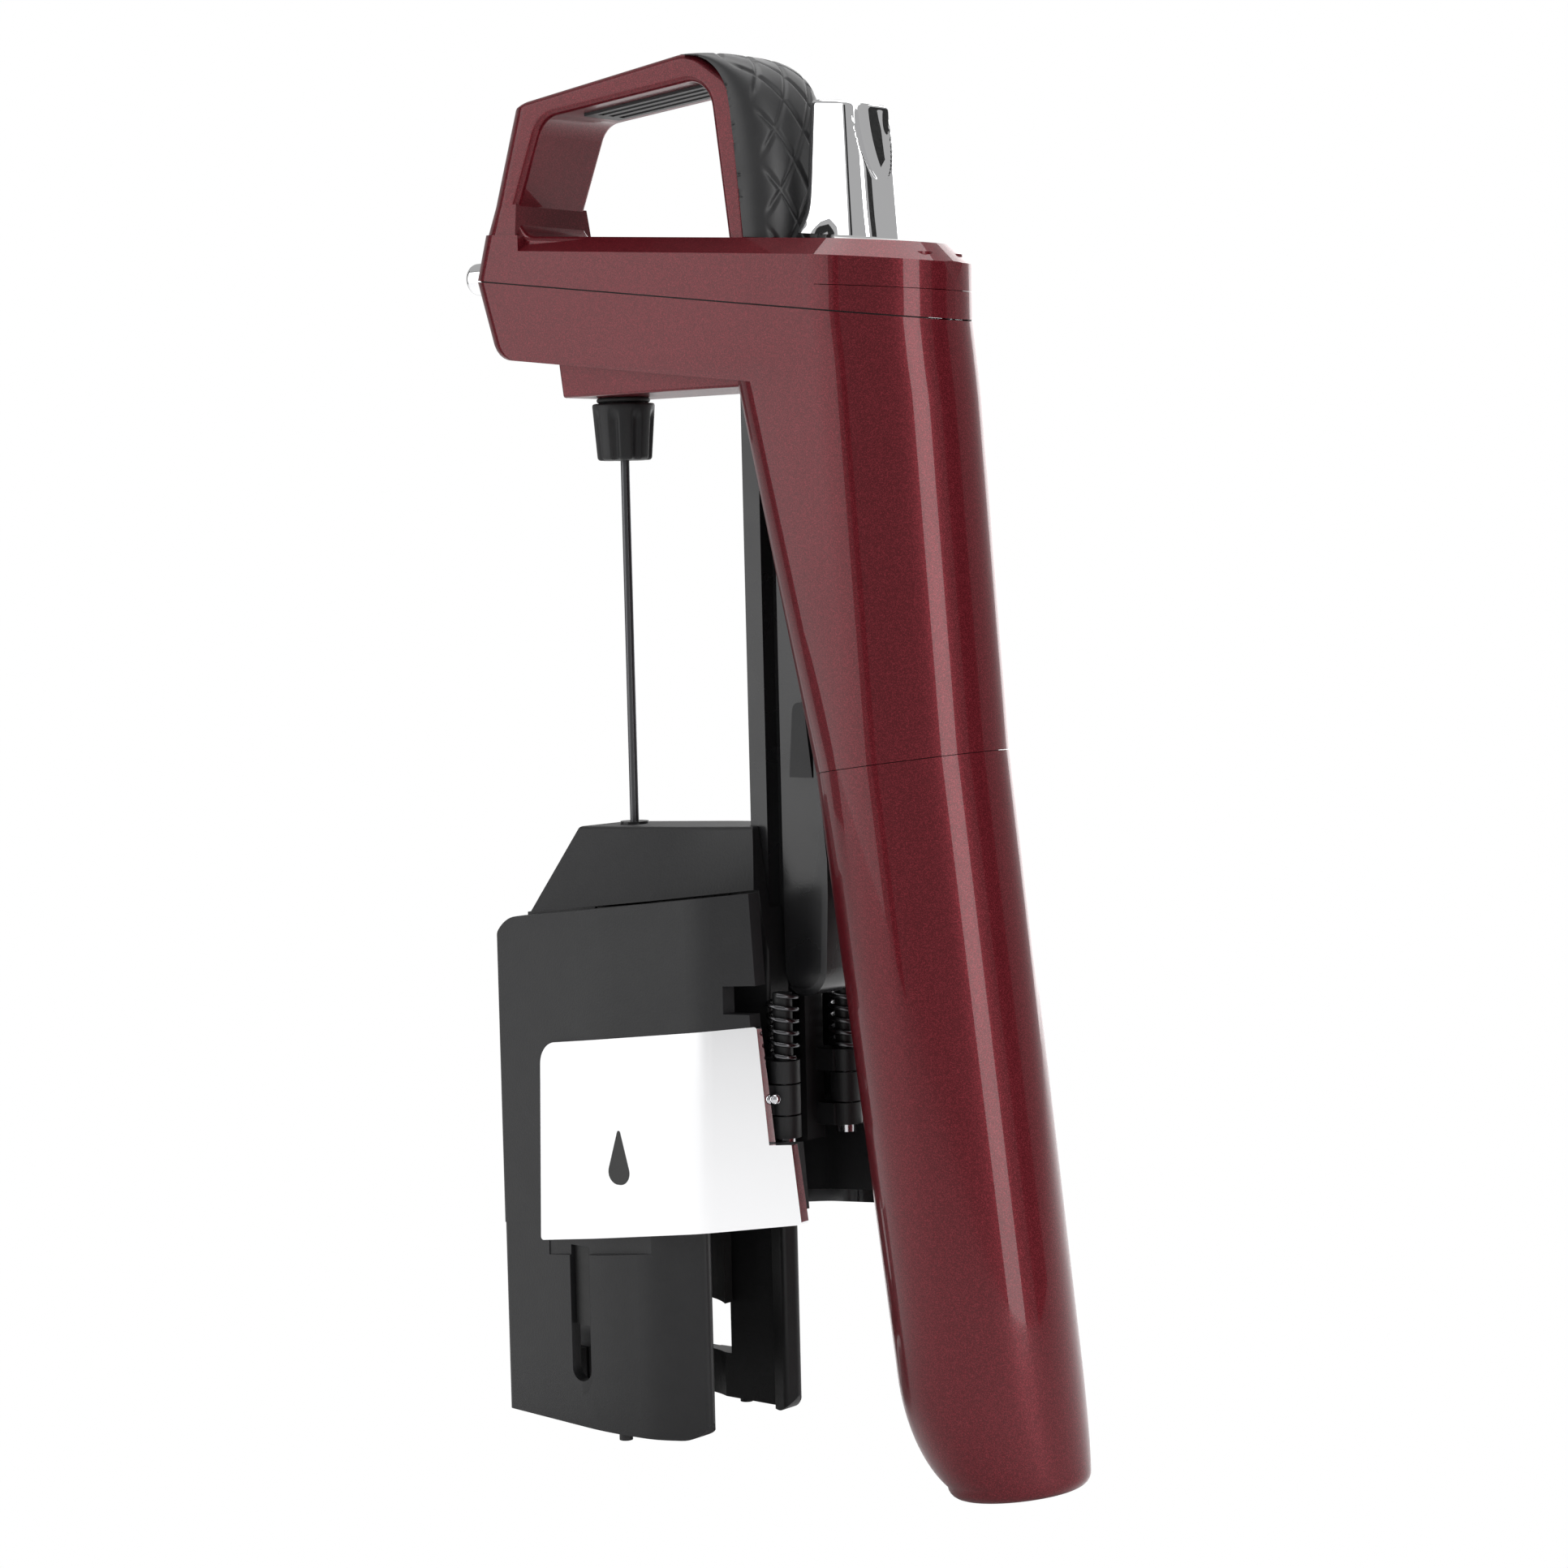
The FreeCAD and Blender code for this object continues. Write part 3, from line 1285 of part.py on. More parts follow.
def trigger_bracket():
    """Frame behind the valve block that holds the trigger's pin and backs its spring."""
    front, back = valve_back_x, 61.6
    frame = box(front, front + 2.0, -6.4, 6.4, 168.9, 172.6)
    frame = frame.fuse(box(back - 1.4, back, -6.4, 6.4, 161.6, 168.8))
    for side in (-1, 1):
        low, high = sorted((side * 4.0, side * 6.4))
        frame = frame.fuse(box(front, back, low, high, 161.6, 168.8))
        frame = frame.fuse(box(front, trigger_x + 3.4, low, high, 168.8, trigger_pivot_z + 3.0))
    hole = rod(trigger_pin_radius + 0.01, Vector(trigger_x, -9, trigger_pivot_z),
               Vector(trigger_x, 9, trigger_pivot_z))
    return frame.cut(hole).removeSplitter()


def trigger_spring():
    """Coil spring behind the stem's collar that pushes the trigger back."""
    start = Vector(collar_x + 2.0 + 1.05, 0, stem_z)
    return coil(3.0, 0.3, 0.7, 4.0, start, Vector(1, 0, 0))


def housing_screws():
    """Pins that hold the covers on the housing's posts."""
    screws = []
    for x, y in screw_posts:
        middle = plane_z(parting_z, parting_slope, x)
        screws.append(upright(screw_radius - 0.02, x, y, middle - 8.0, middle + 4.6))
    return Part.makeCompound(screws)


# ---------------------------------------------------------------- build
cover = top_cover()
left_half = box(-80, 120, -60, 0, 100, 260)
write("cover_left", cover.common(left_half))
write("cover_right", cover.cut(left_half))
write("main_housing", main_housing())
write("seam_gasket", seam_gasket())
write("grip_pad", grip_pad())
write("handle_rib_strip", ribbed(rib_strip()))
write("spout", spout())
write("needle_hub", needle_hub())
write("needle", needle())
write("needle_socket", needle_socket())
write("needle_seal", needle_seal())
write("guide_rail", guide_rail())
write("rail_plates", Part.makeCompound([rail_plate(-1), rail_plate(1)]))
write("rail_stop", rail_stop())
slider = slider_whole()
write("slider_hood", slider.cut(spine_zone()))
write("slider_spine", slider.common(spine_zone()))
write("needle_bush", needle_bush())
write("lip_pad", lip_pad())
write("slide_pads", Part.makeCompound([slide_pad(-1), slide_pad(1)]))
write("hinge_pins", Part.makeCompound([hinge_pin(-1), hinge_pin(1)]))
write("arm_spring_left", arm_spring(-1))
write("arm_spring_right", arm_spring(1))
write("spring_posts", Part.makeCompound([spring_post(-1), spring_post(1)]))
left = {
    "arm": arm_shell(), "plaque": plaque_solid(), "neck_pad": neck_pad(), "arm_pin": stop_pin(),
}
mark = plaque_mark()
left["badge"] = left["plaque"].common(mark)
left["plaque"] = left["plaque"].cut(mark)
for name, shape in left.items():
    write(name + "_left", shape)
    other = mirrored(shape)
    if name == "arm":
        other = other.cut(wide_window())
    write(name + "_right", other)
write("gas_cup", gas_cup())
write("cup_liner", cup_liner())
write("capsule_rest", capsule_rest())
write("rest_cushion", rest_cushion())
write("gas_capsule", gas_capsule())
write("thread_collar", thread_collar())
write("ring_seal", ring_seal())
write("regulator_body", regulator_body())
write("piercing_pin", piercing_pin())
write("regulator_piston", regulator_piston())
write("regulator_spring", regulator_spring())
write("regulator_cap", regulator_cap())
write("valve_block", valve_block())
write("valve_stem", valve_stem())
write("valve_seal", valve_seal())
write("wine_tube", wine_tube())
write("socket_link", socket_link())
write("gas_tube", gas_tube())
write("gas_fitting", gas_fitting())
write("trigger", trigger())
write("trigger_pin", trigger_pin())
write("trigger_bracket", trigger_bracket())
write("trigger_spring", trigger_spring())
write("housing_screws", housing_screws())
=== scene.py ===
# %% [markdown]
# # A needle wine opener
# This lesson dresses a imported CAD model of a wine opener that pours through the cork. The CAD
# frame already holds every part in its true place, so here we only add finishes and remake the
# pieces that light falls on most. We start by loading the frame and keeping its box.

import json
import math

import bpy
import bmesh
import numpy as np
from mathutils import Matrix, Vector


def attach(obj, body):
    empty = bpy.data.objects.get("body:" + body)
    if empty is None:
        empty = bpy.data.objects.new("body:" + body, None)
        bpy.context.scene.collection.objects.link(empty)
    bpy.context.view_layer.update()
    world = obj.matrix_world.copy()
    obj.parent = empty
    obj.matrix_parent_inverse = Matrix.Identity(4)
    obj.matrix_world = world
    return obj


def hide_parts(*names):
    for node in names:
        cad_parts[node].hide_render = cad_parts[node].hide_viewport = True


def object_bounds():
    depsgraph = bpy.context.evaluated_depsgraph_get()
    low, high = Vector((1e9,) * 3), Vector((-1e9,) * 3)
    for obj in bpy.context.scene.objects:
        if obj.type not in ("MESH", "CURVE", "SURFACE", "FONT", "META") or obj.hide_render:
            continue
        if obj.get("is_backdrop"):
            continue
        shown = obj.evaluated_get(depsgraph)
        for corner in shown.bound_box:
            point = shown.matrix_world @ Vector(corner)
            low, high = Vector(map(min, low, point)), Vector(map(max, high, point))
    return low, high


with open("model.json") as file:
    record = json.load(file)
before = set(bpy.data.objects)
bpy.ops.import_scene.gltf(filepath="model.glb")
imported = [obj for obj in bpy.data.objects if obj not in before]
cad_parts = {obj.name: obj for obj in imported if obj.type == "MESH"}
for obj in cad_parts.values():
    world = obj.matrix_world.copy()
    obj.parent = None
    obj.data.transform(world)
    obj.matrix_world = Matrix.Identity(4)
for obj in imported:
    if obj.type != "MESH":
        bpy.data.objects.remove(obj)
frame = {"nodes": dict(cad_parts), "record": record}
cad_low, cad_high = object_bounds()
MM = 0.001
print("CAD box in mm:", [round(v / MM, 1) for v in (*cad_low, *cad_high)])

# %% [markdown]
# ## Finishes
# Every finish is made of nodes, with no picture files. Three effects turn up in many finishes, so
# each is a node group: `moulded_grain` is the fine texture that a mould leaves on plastic,
# `handling_marks` makes the gloss a little uneven, and `metal_flakes` scatters the tiny bright
# plates that sit in metallic paint. A group only puts out values, and the shader stays outside.

# %% Helpers for node trees
def new_group(name, inputs, outputs):
    """An empty shader group with named number inputs, and outputs of a given kind."""
    tree = bpy.data.node_groups.new(name, "ShaderNodeTree")
    for label, value in inputs:
        socket = tree.interface.new_socket(label, in_out="INPUT", socket_type="NodeSocketFloat")
        socket.default_value = value
    for label, kind in outputs:
        tree.interface.new_socket(label, in_out="OUTPUT", socket_type=kind)
    return tree, tree.nodes.new("NodeGroupInput"), tree.nodes.new("NodeGroupOutput")


def add_node(tree, kind, **settings):
    node = tree.nodes.new(kind)
    for key, value in settings.items():
        setattr(node, key, value)
    return node


def add_math(tree, operation, first, second):
    """A Math node whose two inputs are each a socket or a number."""
    node = add_node(tree, "ShaderNodeMath", operation=operation)
    for slot, value in enumerate((first, second)):
        if isinstance(value, (int, float)):
            node.inputs[slot].default_value = value
        else:
            tree.links.new(value, node.inputs[slot])
    return node.outputs[0]


def object_noise(tree, scale, detail=3.0, kind="ShaderNodeTexNoise"):
    """Noise or cells read in the object's own coordinates. The scale is a socket or a number."""
    coords = add_node(tree, "ShaderNodeTexCoord")
    noise = add_node(tree, kind)
    tree.links.new(coords.outputs["Object"], noise.inputs["Vector"])
    if kind == "ShaderNodeTexNoise":
        noise.inputs["Detail"].default_value = detail
    if isinstance(scale, (int, float)):
        noise.inputs["Scale"].default_value = scale
    else:
        tree.links.new(scale, noise.inputs["Scale"])
    return noise


# %% The grain group
grain_group, grain_in, grain_out = new_group(
    "moulded_grain", [("Scale", 2500.0), ("Coarse", 300.0)],
    [("Height", "NodeSocketFloat"), ("Mottle", "NodeSocketFloat")])
fine = object_noise(grain_group, grain_in.outputs["Scale"], 2.0)
coarse = object_noise(grain_group, grain_in.outputs["Coarse"], 4.0)
both = add_math(grain_group, "MULTIPLY_ADD", coarse.outputs["Fac"], 0.35)
grain_group.links.new(fine.outputs["Fac"], both.node.inputs[2])
grain_group.links.new(both, grain_out.inputs["Height"])
grain_group.links.new(coarse.outputs["Fac"], grain_out.inputs["Mottle"])
print("group:", grain_group.name)

# %% The handling-marks group
marks_group, marks_in, marks_out = new_group(
    "handling_marks", [("Scale", 40.0), ("Low", 0.1), ("High", 0.3)],
    [("Roughness", "NodeSocketFloat")])
smear = object_noise(marks_group, marks_in.outputs["Scale"], 5.0)
smear.inputs["Distortion"].default_value = 0.6
spread = add_node(marks_group, "ShaderNodeMapRange", interpolation_type="SMOOTHSTEP")
spread.inputs["From Min"].default_value = 0.35
spread.inputs["From Max"].default_value = 0.7
marks_group.links.new(smear.outputs["Fac"], spread.inputs["Value"])
marks_group.links.new(marks_in.outputs["Low"], spread.inputs["To Min"])
marks_group.links.new(marks_in.outputs["High"], spread.inputs["To Max"])
marks_group.links.new(spread.outputs["Result"], marks_out.inputs["Roughness"])
print("group:", marks_group.name)

# %% The flake group
flake_group, flake_in, flake_out = new_group(
    "metal_flakes", [("Scale", 5000.0), ("Share", 0.5)],
    [("Bright", "NodeSocketFloat"), ("Tilt", "NodeSocketColor")])
cells = object_noise(flake_group, flake_in.outputs["Scale"], kind="ShaderNodeTexVoronoi")
split = add_node(flake_group, "ShaderNodeSeparateColor")
flake_group.links.new(cells.outputs["Color"], split.inputs["Color"])
lit = add_node(flake_group, "ShaderNodeMapRange", interpolation_type="SMOOTHSTEP")
flake_group.links.new(split.outputs["Red"], lit.inputs["Value"])
flake_group.links.new(flake_in.outputs["Share"], lit.inputs["From Min"])
flake_group.links.new(lit.outputs["Result"], flake_out.inputs["Bright"])
flake_group.links.new(cells.outputs["Color"], flake_out.inputs["Tilt"])
print("group:", flake_group.name)

# %% [markdown]
# ## From groups to materials
# `finish` starts a material with one Principled shader. Numbers that are the same all over are set
# on the shader itself; only what changes over the surface is linked in. Roughness always runs
# through the handling marks, because no real surface is evenly glossy.

# %% Start a finish
finishes = {}


def finish(name, color, metallic=0.0, low=0.2, high=0.3, marks_scale=40.0, **sockets):
    material = bpy.data.materials.new(name)
    material.use_nodes = True
    tree = material.node_tree
    shader = tree.nodes["Principled BSDF"]
    shader.inputs["Base Color"].default_value = (*color, 1.0)
    shader.inputs["Metallic"].default_value = metallic
    for label, value in sockets.items():
        shader.inputs[label.replace("_", " ")].default_value = value
    marks = add_node(tree, "ShaderNodeGroup", node_tree=marks_group)
    marks.inputs["Scale"].default_value = marks_scale
    marks.inputs["Low"].default_value = low
    marks.inputs["High"].default_value = high
    tree.links.new(marks.outputs["Roughness"], shader.inputs["Roughness"])
    finishes[name] = material
    return material, tree, shader


def add_grain(tree, shader, scale, coarse, depth, dark, light):
    """Mould grain as bump, and a faint mottle between two colours."""
    grain = add_node(tree, "ShaderNodeGroup", node_tree=grain_group)
    grain.inputs["Scale"].default_value = scale
    grain.inputs["Coarse"].default_value = coarse
    bump = add_node(tree, "ShaderNodeBump")
    bump.inputs["Distance"].default_value = depth
    bump.inputs["Strength"].default_value = 1.0
    tree.links.new(grain.outputs["Height"], bump.inputs["Height"])
    tree.links.new(bump.outputs["Normal"], shader.inputs["Normal"])
    mix = add_node(tree, "ShaderNodeMix", data_type="RGBA")
    mix.inputs["A"].default_value = (*dark, 1.0)
    mix.inputs["B"].default_value = (*light, 1.0)
    tree.links.new(grain.outputs["Mottle"], mix.inputs["Factor"])
    tree.links.new(mix.outputs["Result"], shader.inputs["Base Color"])


# %% Burgundy paint: deep red under clear lacquer, with very fine flakes
material, tree, shader = finish("burgundy_paint", (0.1, 0.006, 0.011), metallic=0.35, low=0.3, high=0.36,
                                Coat_Weight=0.6, Coat_Roughness=0.03, Coat_IOR=1.4, Specular_IOR_Level=0.1)
flakes = add_node(tree, "ShaderNodeGroup", node_tree=flake_group)
flakes.inputs["Scale"].default_value = 9000.0
flakes.inputs["Share"].default_value = 0.5
deep_to_bright = add_node(tree, "ShaderNodeMix", data_type="RGBA")
deep_to_bright.inputs["A"].default_value = (0.085, 0.006, 0.010, 1.0)
deep_to_bright.inputs["B"].default_value = (0.19, 0.018, 0.027, 1.0)
tree.links.new(flakes.outputs["Bright"], deep_to_bright.inputs["Factor"])
tree.links.new(deep_to_bright.outputs["Result"], shader.inputs["Base Color"])
print("paint uses", len(tree.nodes), "nodes")

# %% Black plastics: a satin grained one for the clamp, a smoother one for the rail
material, tree, shader = finish("black_plastic", (0.012, 0.012, 0.013), low=0.42, high=0.5,
                                marks_scale=25.0, Specular_IOR_Level=0.35)
add_grain(tree, shader, 2600.0, 260.0, 0.00003, (0.010, 0.010, 0.011), (0.015, 0.015, 0.016))
material, tree, shader = finish("guide_plastic", (0.012, 0.012, 0.013), low=0.22, high=0.34)
add_grain(tree, shader, 1800.0, 120.0, 0.00001, (0.010, 0.010, 0.011), (0.017, 0.017, 0.018))
material, tree, shader = finish("badge_ink", (0.012, 0.012, 0.012), low=0.15, high=0.25)
print("plastics made")

# %% Rubbers: silky silicone for the palm, dull rubber for the pads
material, tree, shader = finish("grip_rubber", (0.014, 0.014, 0.015), low=0.45, high=0.58,
                                Sheen_Weight=0.12, Sheen_Roughness=0.4)
add_grain(tree, shader, 3200.0, 300.0, 0.00001, (0.011, 0.011, 0.012), (0.02, 0.02, 0.021))
material, tree, shader = finish("pad_rubber", (0.02, 0.02, 0.02), low=0.6, high=0.72)
add_grain(tree, shader, 1500.0, 200.0, 0.00004, (0.016, 0.016, 0.016), (0.03, 0.03, 0.03))
print("rubbers made")

# %% Metals
METALS = {
    "chrome": ((0.9, 0.9, 0.91), 0.015, 0.045),
    "needle_steel": ((0.10, 0.10, 0.105), 0.28, 0.38),
    "steel": ((0.62, 0.62, 0.64), 0.16, 0.3),
    "spring_steel": ((0.11, 0.11, 0.115), 0.24, 0.36),
    "brass": ((0.75, 0.55, 0.26), 0.2, 0.34),
    "alloy": ((0.68, 0.68, 0.7), 0.3, 0.42),
    "capsule_steel": ((0.55, 0.57, 0.6), 0.24, 0.34),
}
for name, (color, low, high) in METALS.items():
    finish(name, color, metallic=1.0, low=low, high=high, marks_scale=60.0)
finishes["paint"] = finishes["burgundy_paint"]
print("finishes:", sorted(finishes))

# %% [markdown]
# ## Dressing the CAD nodes
# The record says which material slot each node belongs to, so one loop gives every CAD node its
# finish.

# %% Put finishes on the CAD nodes
slot_of = {row["node"]: row["material_slot"] for row in frame["record"]["subparts"]}
for node, obj in frame["nodes"].items():
    obj.data.materials.clear()
    obj.data.materials.append(finishes[slot_of[node]])
print("dressed", len(slot_of), "nodes")

# %% [markdown]
# ## A small kit for shapes that follow a rule
# Some pieces are easiest to say as a rule: the gas cup is a circle that shrinks and shifts as it
# goes down, a spring is a wire along a helix. Geometry Nodes can hold such a rule with named sizes.
# Long chains of Math nodes are hard to read, so `Field` lets us write them as a formula.

# %% Formulas out of Math nodes
class Field:
    """A node socket that can be used in a formula."""

    def __init__(self, tree, socket):
        self.tree, self.socket = tree, socket

    def join(self, operation, other, swapped=False):
        other = other.socket if isinstance(other, Field) else other
        pair = (other, self.socket) if swapped else (self.socket, other)
        return Field(self.tree, add_math(self.tree, operation, *pair))

    def __add__(self, other):
        return self.join("ADD", other)

    def __sub__(self, other):
        return self.join("SUBTRACT", other)

    def __rsub__(self, other):
        return self.join("SUBTRACT", other, swapped=True)

    def __mul__(self, other):
        return self.join("MULTIPLY", other)

    def __truediv__(self, other):
        return self.join("DIVIDE", other)

    def over(self, other):
        return self.join("GREATER_THAN", other)

    def under(self, other):
        return self.join("LESS_THAN", other)

    def clamped(self):
        return self.join("MAXIMUM", 0.0).join("MINIMUM", 1.0)

    def sin(self):
        return self.join("SINE", 0.0)

    def cos(self):
        return self.join("COSINE", 0.0)


# %% Start a rule, and run it once
def new_rule(name, inputs):
    """A geometry tree with named inputs. Gives the tree, its inputs as fields, and its end node."""
    tree = bpy.data.node_groups.new(name, "GeometryNodeTree")
    tree.interface.new_socket("Geometry", in_out="INPUT", socket_type="NodeSocketGeometry")
    for label, value in inputs:
        kind = "NodeSocketInt" if isinstance(value, int) else "NodeSocketFloat"
        tree.interface.new_socket(label, in_out="INPUT", socket_type=kind).default_value = value
    tree.interface.new_socket("Geometry", in_out="OUTPUT", socket_type="NodeSocketGeometry")
    start, end = tree.nodes.new("NodeGroupInput"), tree.nodes.new("NodeGroupOutput")
    fields = {label: Field(tree, start.outputs[label]) for label, value in inputs}
    return tree, start, fields, end


def end_rule(tree, geometry, end, material):
    """Close a rule: realize what is instanced and give it its finish."""
    real = tree.nodes.new("GeometryNodeRealizeInstances")
    dress = tree.nodes.new("GeometryNodeSetMaterial")
    dress.inputs["Material"].default_value = material
    tree.links.new(geometry, real.inputs["Geometry"])
    tree.links.new(real.outputs["Geometry"], dress.inputs["Geometry"])
    tree.links.new(dress.outputs["Geometry"], end.inputs["Geometry"])


def keep_piece(name, mesh, body, replaced, angle=35.0):
    """Tidy a finished mesh, make it a piece of one body and hide the CAD nodes it stands for."""
    shape = bmesh.new()
    shape.from_mesh(mesh)
    bmesh.ops.remove_doubles(shape, verts=shape.verts, dist=2e-6)
    bmesh.ops.recalc_face_normals(shape, faces=shape.faces)
    open_edges = sum(1 for edge in shape.edges if len(edge.link_faces) != 2)
    shape.to_mesh(mesh)
    shape.free()
    mesh.shade_smooth()
    mesh.set_sharp_from_angle(angle=math.radians(angle))
    piece = bpy.data.objects.new(name, mesh)
    bpy.context.collection.objects.link(piece)
    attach(piece, body)
    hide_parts(*replaced)
    print(name, "faces", len(mesh.polygons), "open edges", open_edges)
    return piece


def run_rule(name, tree, values=None, seed=None):
    """Evaluate a rule once on a seed mesh and return the plain mesh."""
    holder = bpy.data.objects.new(name + "_holder", seed or bpy.data.meshes.new(name + "_seed"))
    bpy.context.collection.objects.link(holder)
    modifier = holder.modifiers.new("rule", "NODES")
    modifier.node_group = tree
    for item in tree.interface.items_tree:
        if item.in_out == "INPUT" and item.name in (values or {}):
            modifier[item.identifier] = values[item.name]
    graph = bpy.context.evaluated_depsgraph_get()
    mesh = bpy.data.meshes.new_from_object(holder.evaluated_get(graph), depsgraph=graph)
    mesh.name = name
    holder.modifiers.remove(modifier)
    bpy.data.objects.remove(holder)
    return mesh


# %% [markdown]
# ## The gas cup
# The cup is a tapered round tube whose front corner is swept away in one large curve, so the
# circles not only shrink near the end but also move to the back. We bend a flat grid into it: one
# direction of the grid goes round, the other runs out of the bore, over the threaded neck and down
# the outside. A lathe could not shift the circles, and modelling by hand would lose the taper.

# %% Gas cup by rule
CUP = [("Segments", 96), ("Rings", 46), ("Top Radius", 16.5), ("End Radius", 15.3), ("Length", 123.0),
       ("Round Height", 21.0), ("Round Inset", 12.0), ("Edge Round", 2.2), ("Gap", 0.12),
       ("Neck Radius", 13.2), ("Neck Height", 8.0), ("Bore Radius", 11.9), ("Bore Depth", 110.0)]
tree, start, size, end = new_rule("gas_cup_rule", CUP)
grid = tree.nodes.new("GeometryNodeMeshGrid")
tree.links.new((size["Segments"] + 1).socket, grid.inputs["Vertices X"])
tree.links.new((size["Rings"] + 1).socket, grid.inputs["Vertices Y"])
spot = add_node(tree, "ShaderNodeSeparateXYZ")
tree.links.new(tree.nodes.new("GeometryNodeInputPosition").outputs[0], spot.inputs[0])
around = (Field(tree, spot.outputs["X"]) + 0.5) * (2 * math.pi)
ring = (Field(tree, spot.outputs["Y"]) + 0.5) * size["Rings"]
swing = 0.93 * math.pi / 2
last_swing = math.asin((21.0 - 2.2) / 21.0 * math.sin(swing))
bend = ((ring - 15.0) / 24.0).clamped() * last_swing
edge = ((ring - 39.0) / 6.0).clamped() * (math.pi / 2)
straight = size["Length"] - size["Round Height"] - size["Gap"]
depth = size["Gap"] + straight * ((ring - 5.0) / 10.0).clamped()
depth = depth + size["Round Height"] * bend.sin() / math.sin(swing) + size["Edge Round"] * edge.sin()
shift = size["Round Inset"] * (1.0 - bend.cos()) / 2.0
taper = (size["Top Radius"] - size["End Radius"]) / size["Length"]
radius = size["Top Radius"] - taper * depth - shift - size["Edge Round"] * (1.0 - edge.cos())
radius = radius * (1.0 - (ring - 45.0).clamped()) * ring.over(4.5)
radius = radius + size["Neck Radius"] * ring.over(2.5) * ring.under(4.5)
radius = radius + size["Bore Radius"] * ring.over(0.5) * ring.under(2.5)
depth = depth * ring.over(3.5) - size["Neck Height"] * ring.over(1.5) * ring.under(3.5)
depth = depth + size["Bore Depth"] * ring.under(1.5)
point = add_node(tree, "ShaderNodeCombineXYZ")
tree.links.new((shift * ring.over(4.5) + radius * around.cos()).socket, point.inputs["X"])
tree.links.new((radius * around.sin()).socket, point.inputs["Y"])
tree.links.new((depth * -1.0).socket, point.inputs["Z"])
shape = tree.nodes.new("GeometryNodeSetPosition")
tree.links.new(grid.outputs["Mesh"], shape.inputs["Geometry"])
tree.links.new(point.outputs[0], shape.inputs["Position"])
place = tree.nodes.new("GeometryNodeTransform")
LEAN = math.radians(7.45)
place.inputs["Rotation"].default_value = (0.0, -LEAN, 0.0)
place.inputs["Scale"].default_value = (MM, MM, MM)
place.inputs["Translation"].default_value = (0.0634, 0.0, 0.0891)
tree.links.new(shape.outputs["Geometry"], place.inputs["Geometry"])
end_rule(tree, place.outputs["Geometry"], end, finishes["paint"])
keep_piece("cup_shell", run_rule("cup_shell", tree, {"Segments": 96, "Rings": 46}), "cup", ["gas_cup"])

# %% [markdown]
# ## The painted housing
# The lower half of the head and the leg under it are one moulding. Seen from above, the head is
# a long shape with a narrow rounded nose and a round back, and the leg starts as its back part and
# turns into the round ring of the cup. We stack rings with the same number of points, so the skin
# has even strips and the paint shows no wrinkles.

# %% Housing sizes in millimetres
NOSE_X, NOSE_Z, NOSE_HALF, BACK_X, BODY_R = -28.3, 175.2, 9.8, 57.5, 16.5
HEAD_TAPER = (BODY_R - NOSE_HALF) / (BACK_X - NOSE_X)
RING = np.array([63.4, 0.0, 89.1])
AXIS_SIDE = np.array([math.cos(LEAN), 0.0, math.sin(LEAN)])
SEAM = 0.12


def half_width(x):
    return NOSE_HALF + HEAD_TAPER * (x - NOSE_X)


def floor_level(x):
    return 158.2 - 0.116 * x


def seam_level(x):
    return 171.6 - 0.127 * x


print("head taper", round(HEAD_TAPER, 4))


# %% Leg rings
def leg_ends():
    """Matching points of the leg: its outline high up in the head, and its round lower ring."""
    top_z = 178.0
    lean_front = (63.4 - 16.5 - 34.0) / (89.1 - 152.9)
    front = 34.0 + lean_front * (top_z - 152.9)
    axis_x = 57.5 - (63.4 - 57.5) / (169.0 - 89.1) * (top_z - 169.0)
    half, corner = BODY_R - HEAD_TAPER * (axis_x - front), 8.0
    side = math.atan(HEAD_TAPER)
    tops, lows = [], []
    for step in range(5):
        tops.append((front, (half - corner) * step / 5))
        lows.append(180.0 - 12.0 * step / 5)
    for step in range(14):
        angle = math.pi - (math.pi / 2 - side) * step / 14
        tops.append((front + corner + corner * math.cos(angle), half - corner + corner * math.sin(angle)))
        lows.append(168.0 - 56.0 * step / 14)
    first = (front + corner - corner * math.sin(side), half - corner + corner * math.cos(side))
    last = (axis_x - BODY_R * math.sin(side), BODY_R * math.cos(side))
    for step in range(12):
        share = step / 12
        tops.append((first[0] + (last[0] - first[0]) * share, first[1] + (last[1] - first[1]) * share))
        lows.append(112.0 - 22.0 * share)
    for step in range(33):
        angle = (math.pi / 2 + side) * (1 - step / 32)
        tops.append((axis_x + BODY_R * math.cos(angle), BODY_R * math.sin(angle)))
        lows.append(90.0 * (1 - step / 32))
    high = np.array([(x, y, top_z) for x, y in tops])
    low = np.array([RING + AXIS_SIDE * BODY_R * math.cos(math.radians(a))
                    + np.array([0, BODY_R * math.sin(math.radians(a)), 0]) for a in lows])
    return low, high


leg_low, leg_high = leg_ends()
FRONT_COUNT = 19
print("points on half a ring:", len(leg_low))


# %% Head rings
def head_profile(share):
    """Front end of the head's underside, from the floor round the corner and up the nose."""
    if share < 0.45:
        turn = share / 0.45 * math.radians(66.0)
        return -19.6 - 5.0 * math.sin(turn) * 1.02, 160.45 + 5.0 * (1 - math.cos(turn))
    rise = (share - 0.45) / 0.55
    bend_end = math.radians(66.0)
    x0 = -19.6 - 5.0 * math.sin(bend_end) * 1.02
    z0 = 160.45 + 5.0 * (1 - math.cos(bend_end))
    return x0 + (NOSE_X - x0) * rise, z0 + (NOSE_Z - SEAM - z0) * rise


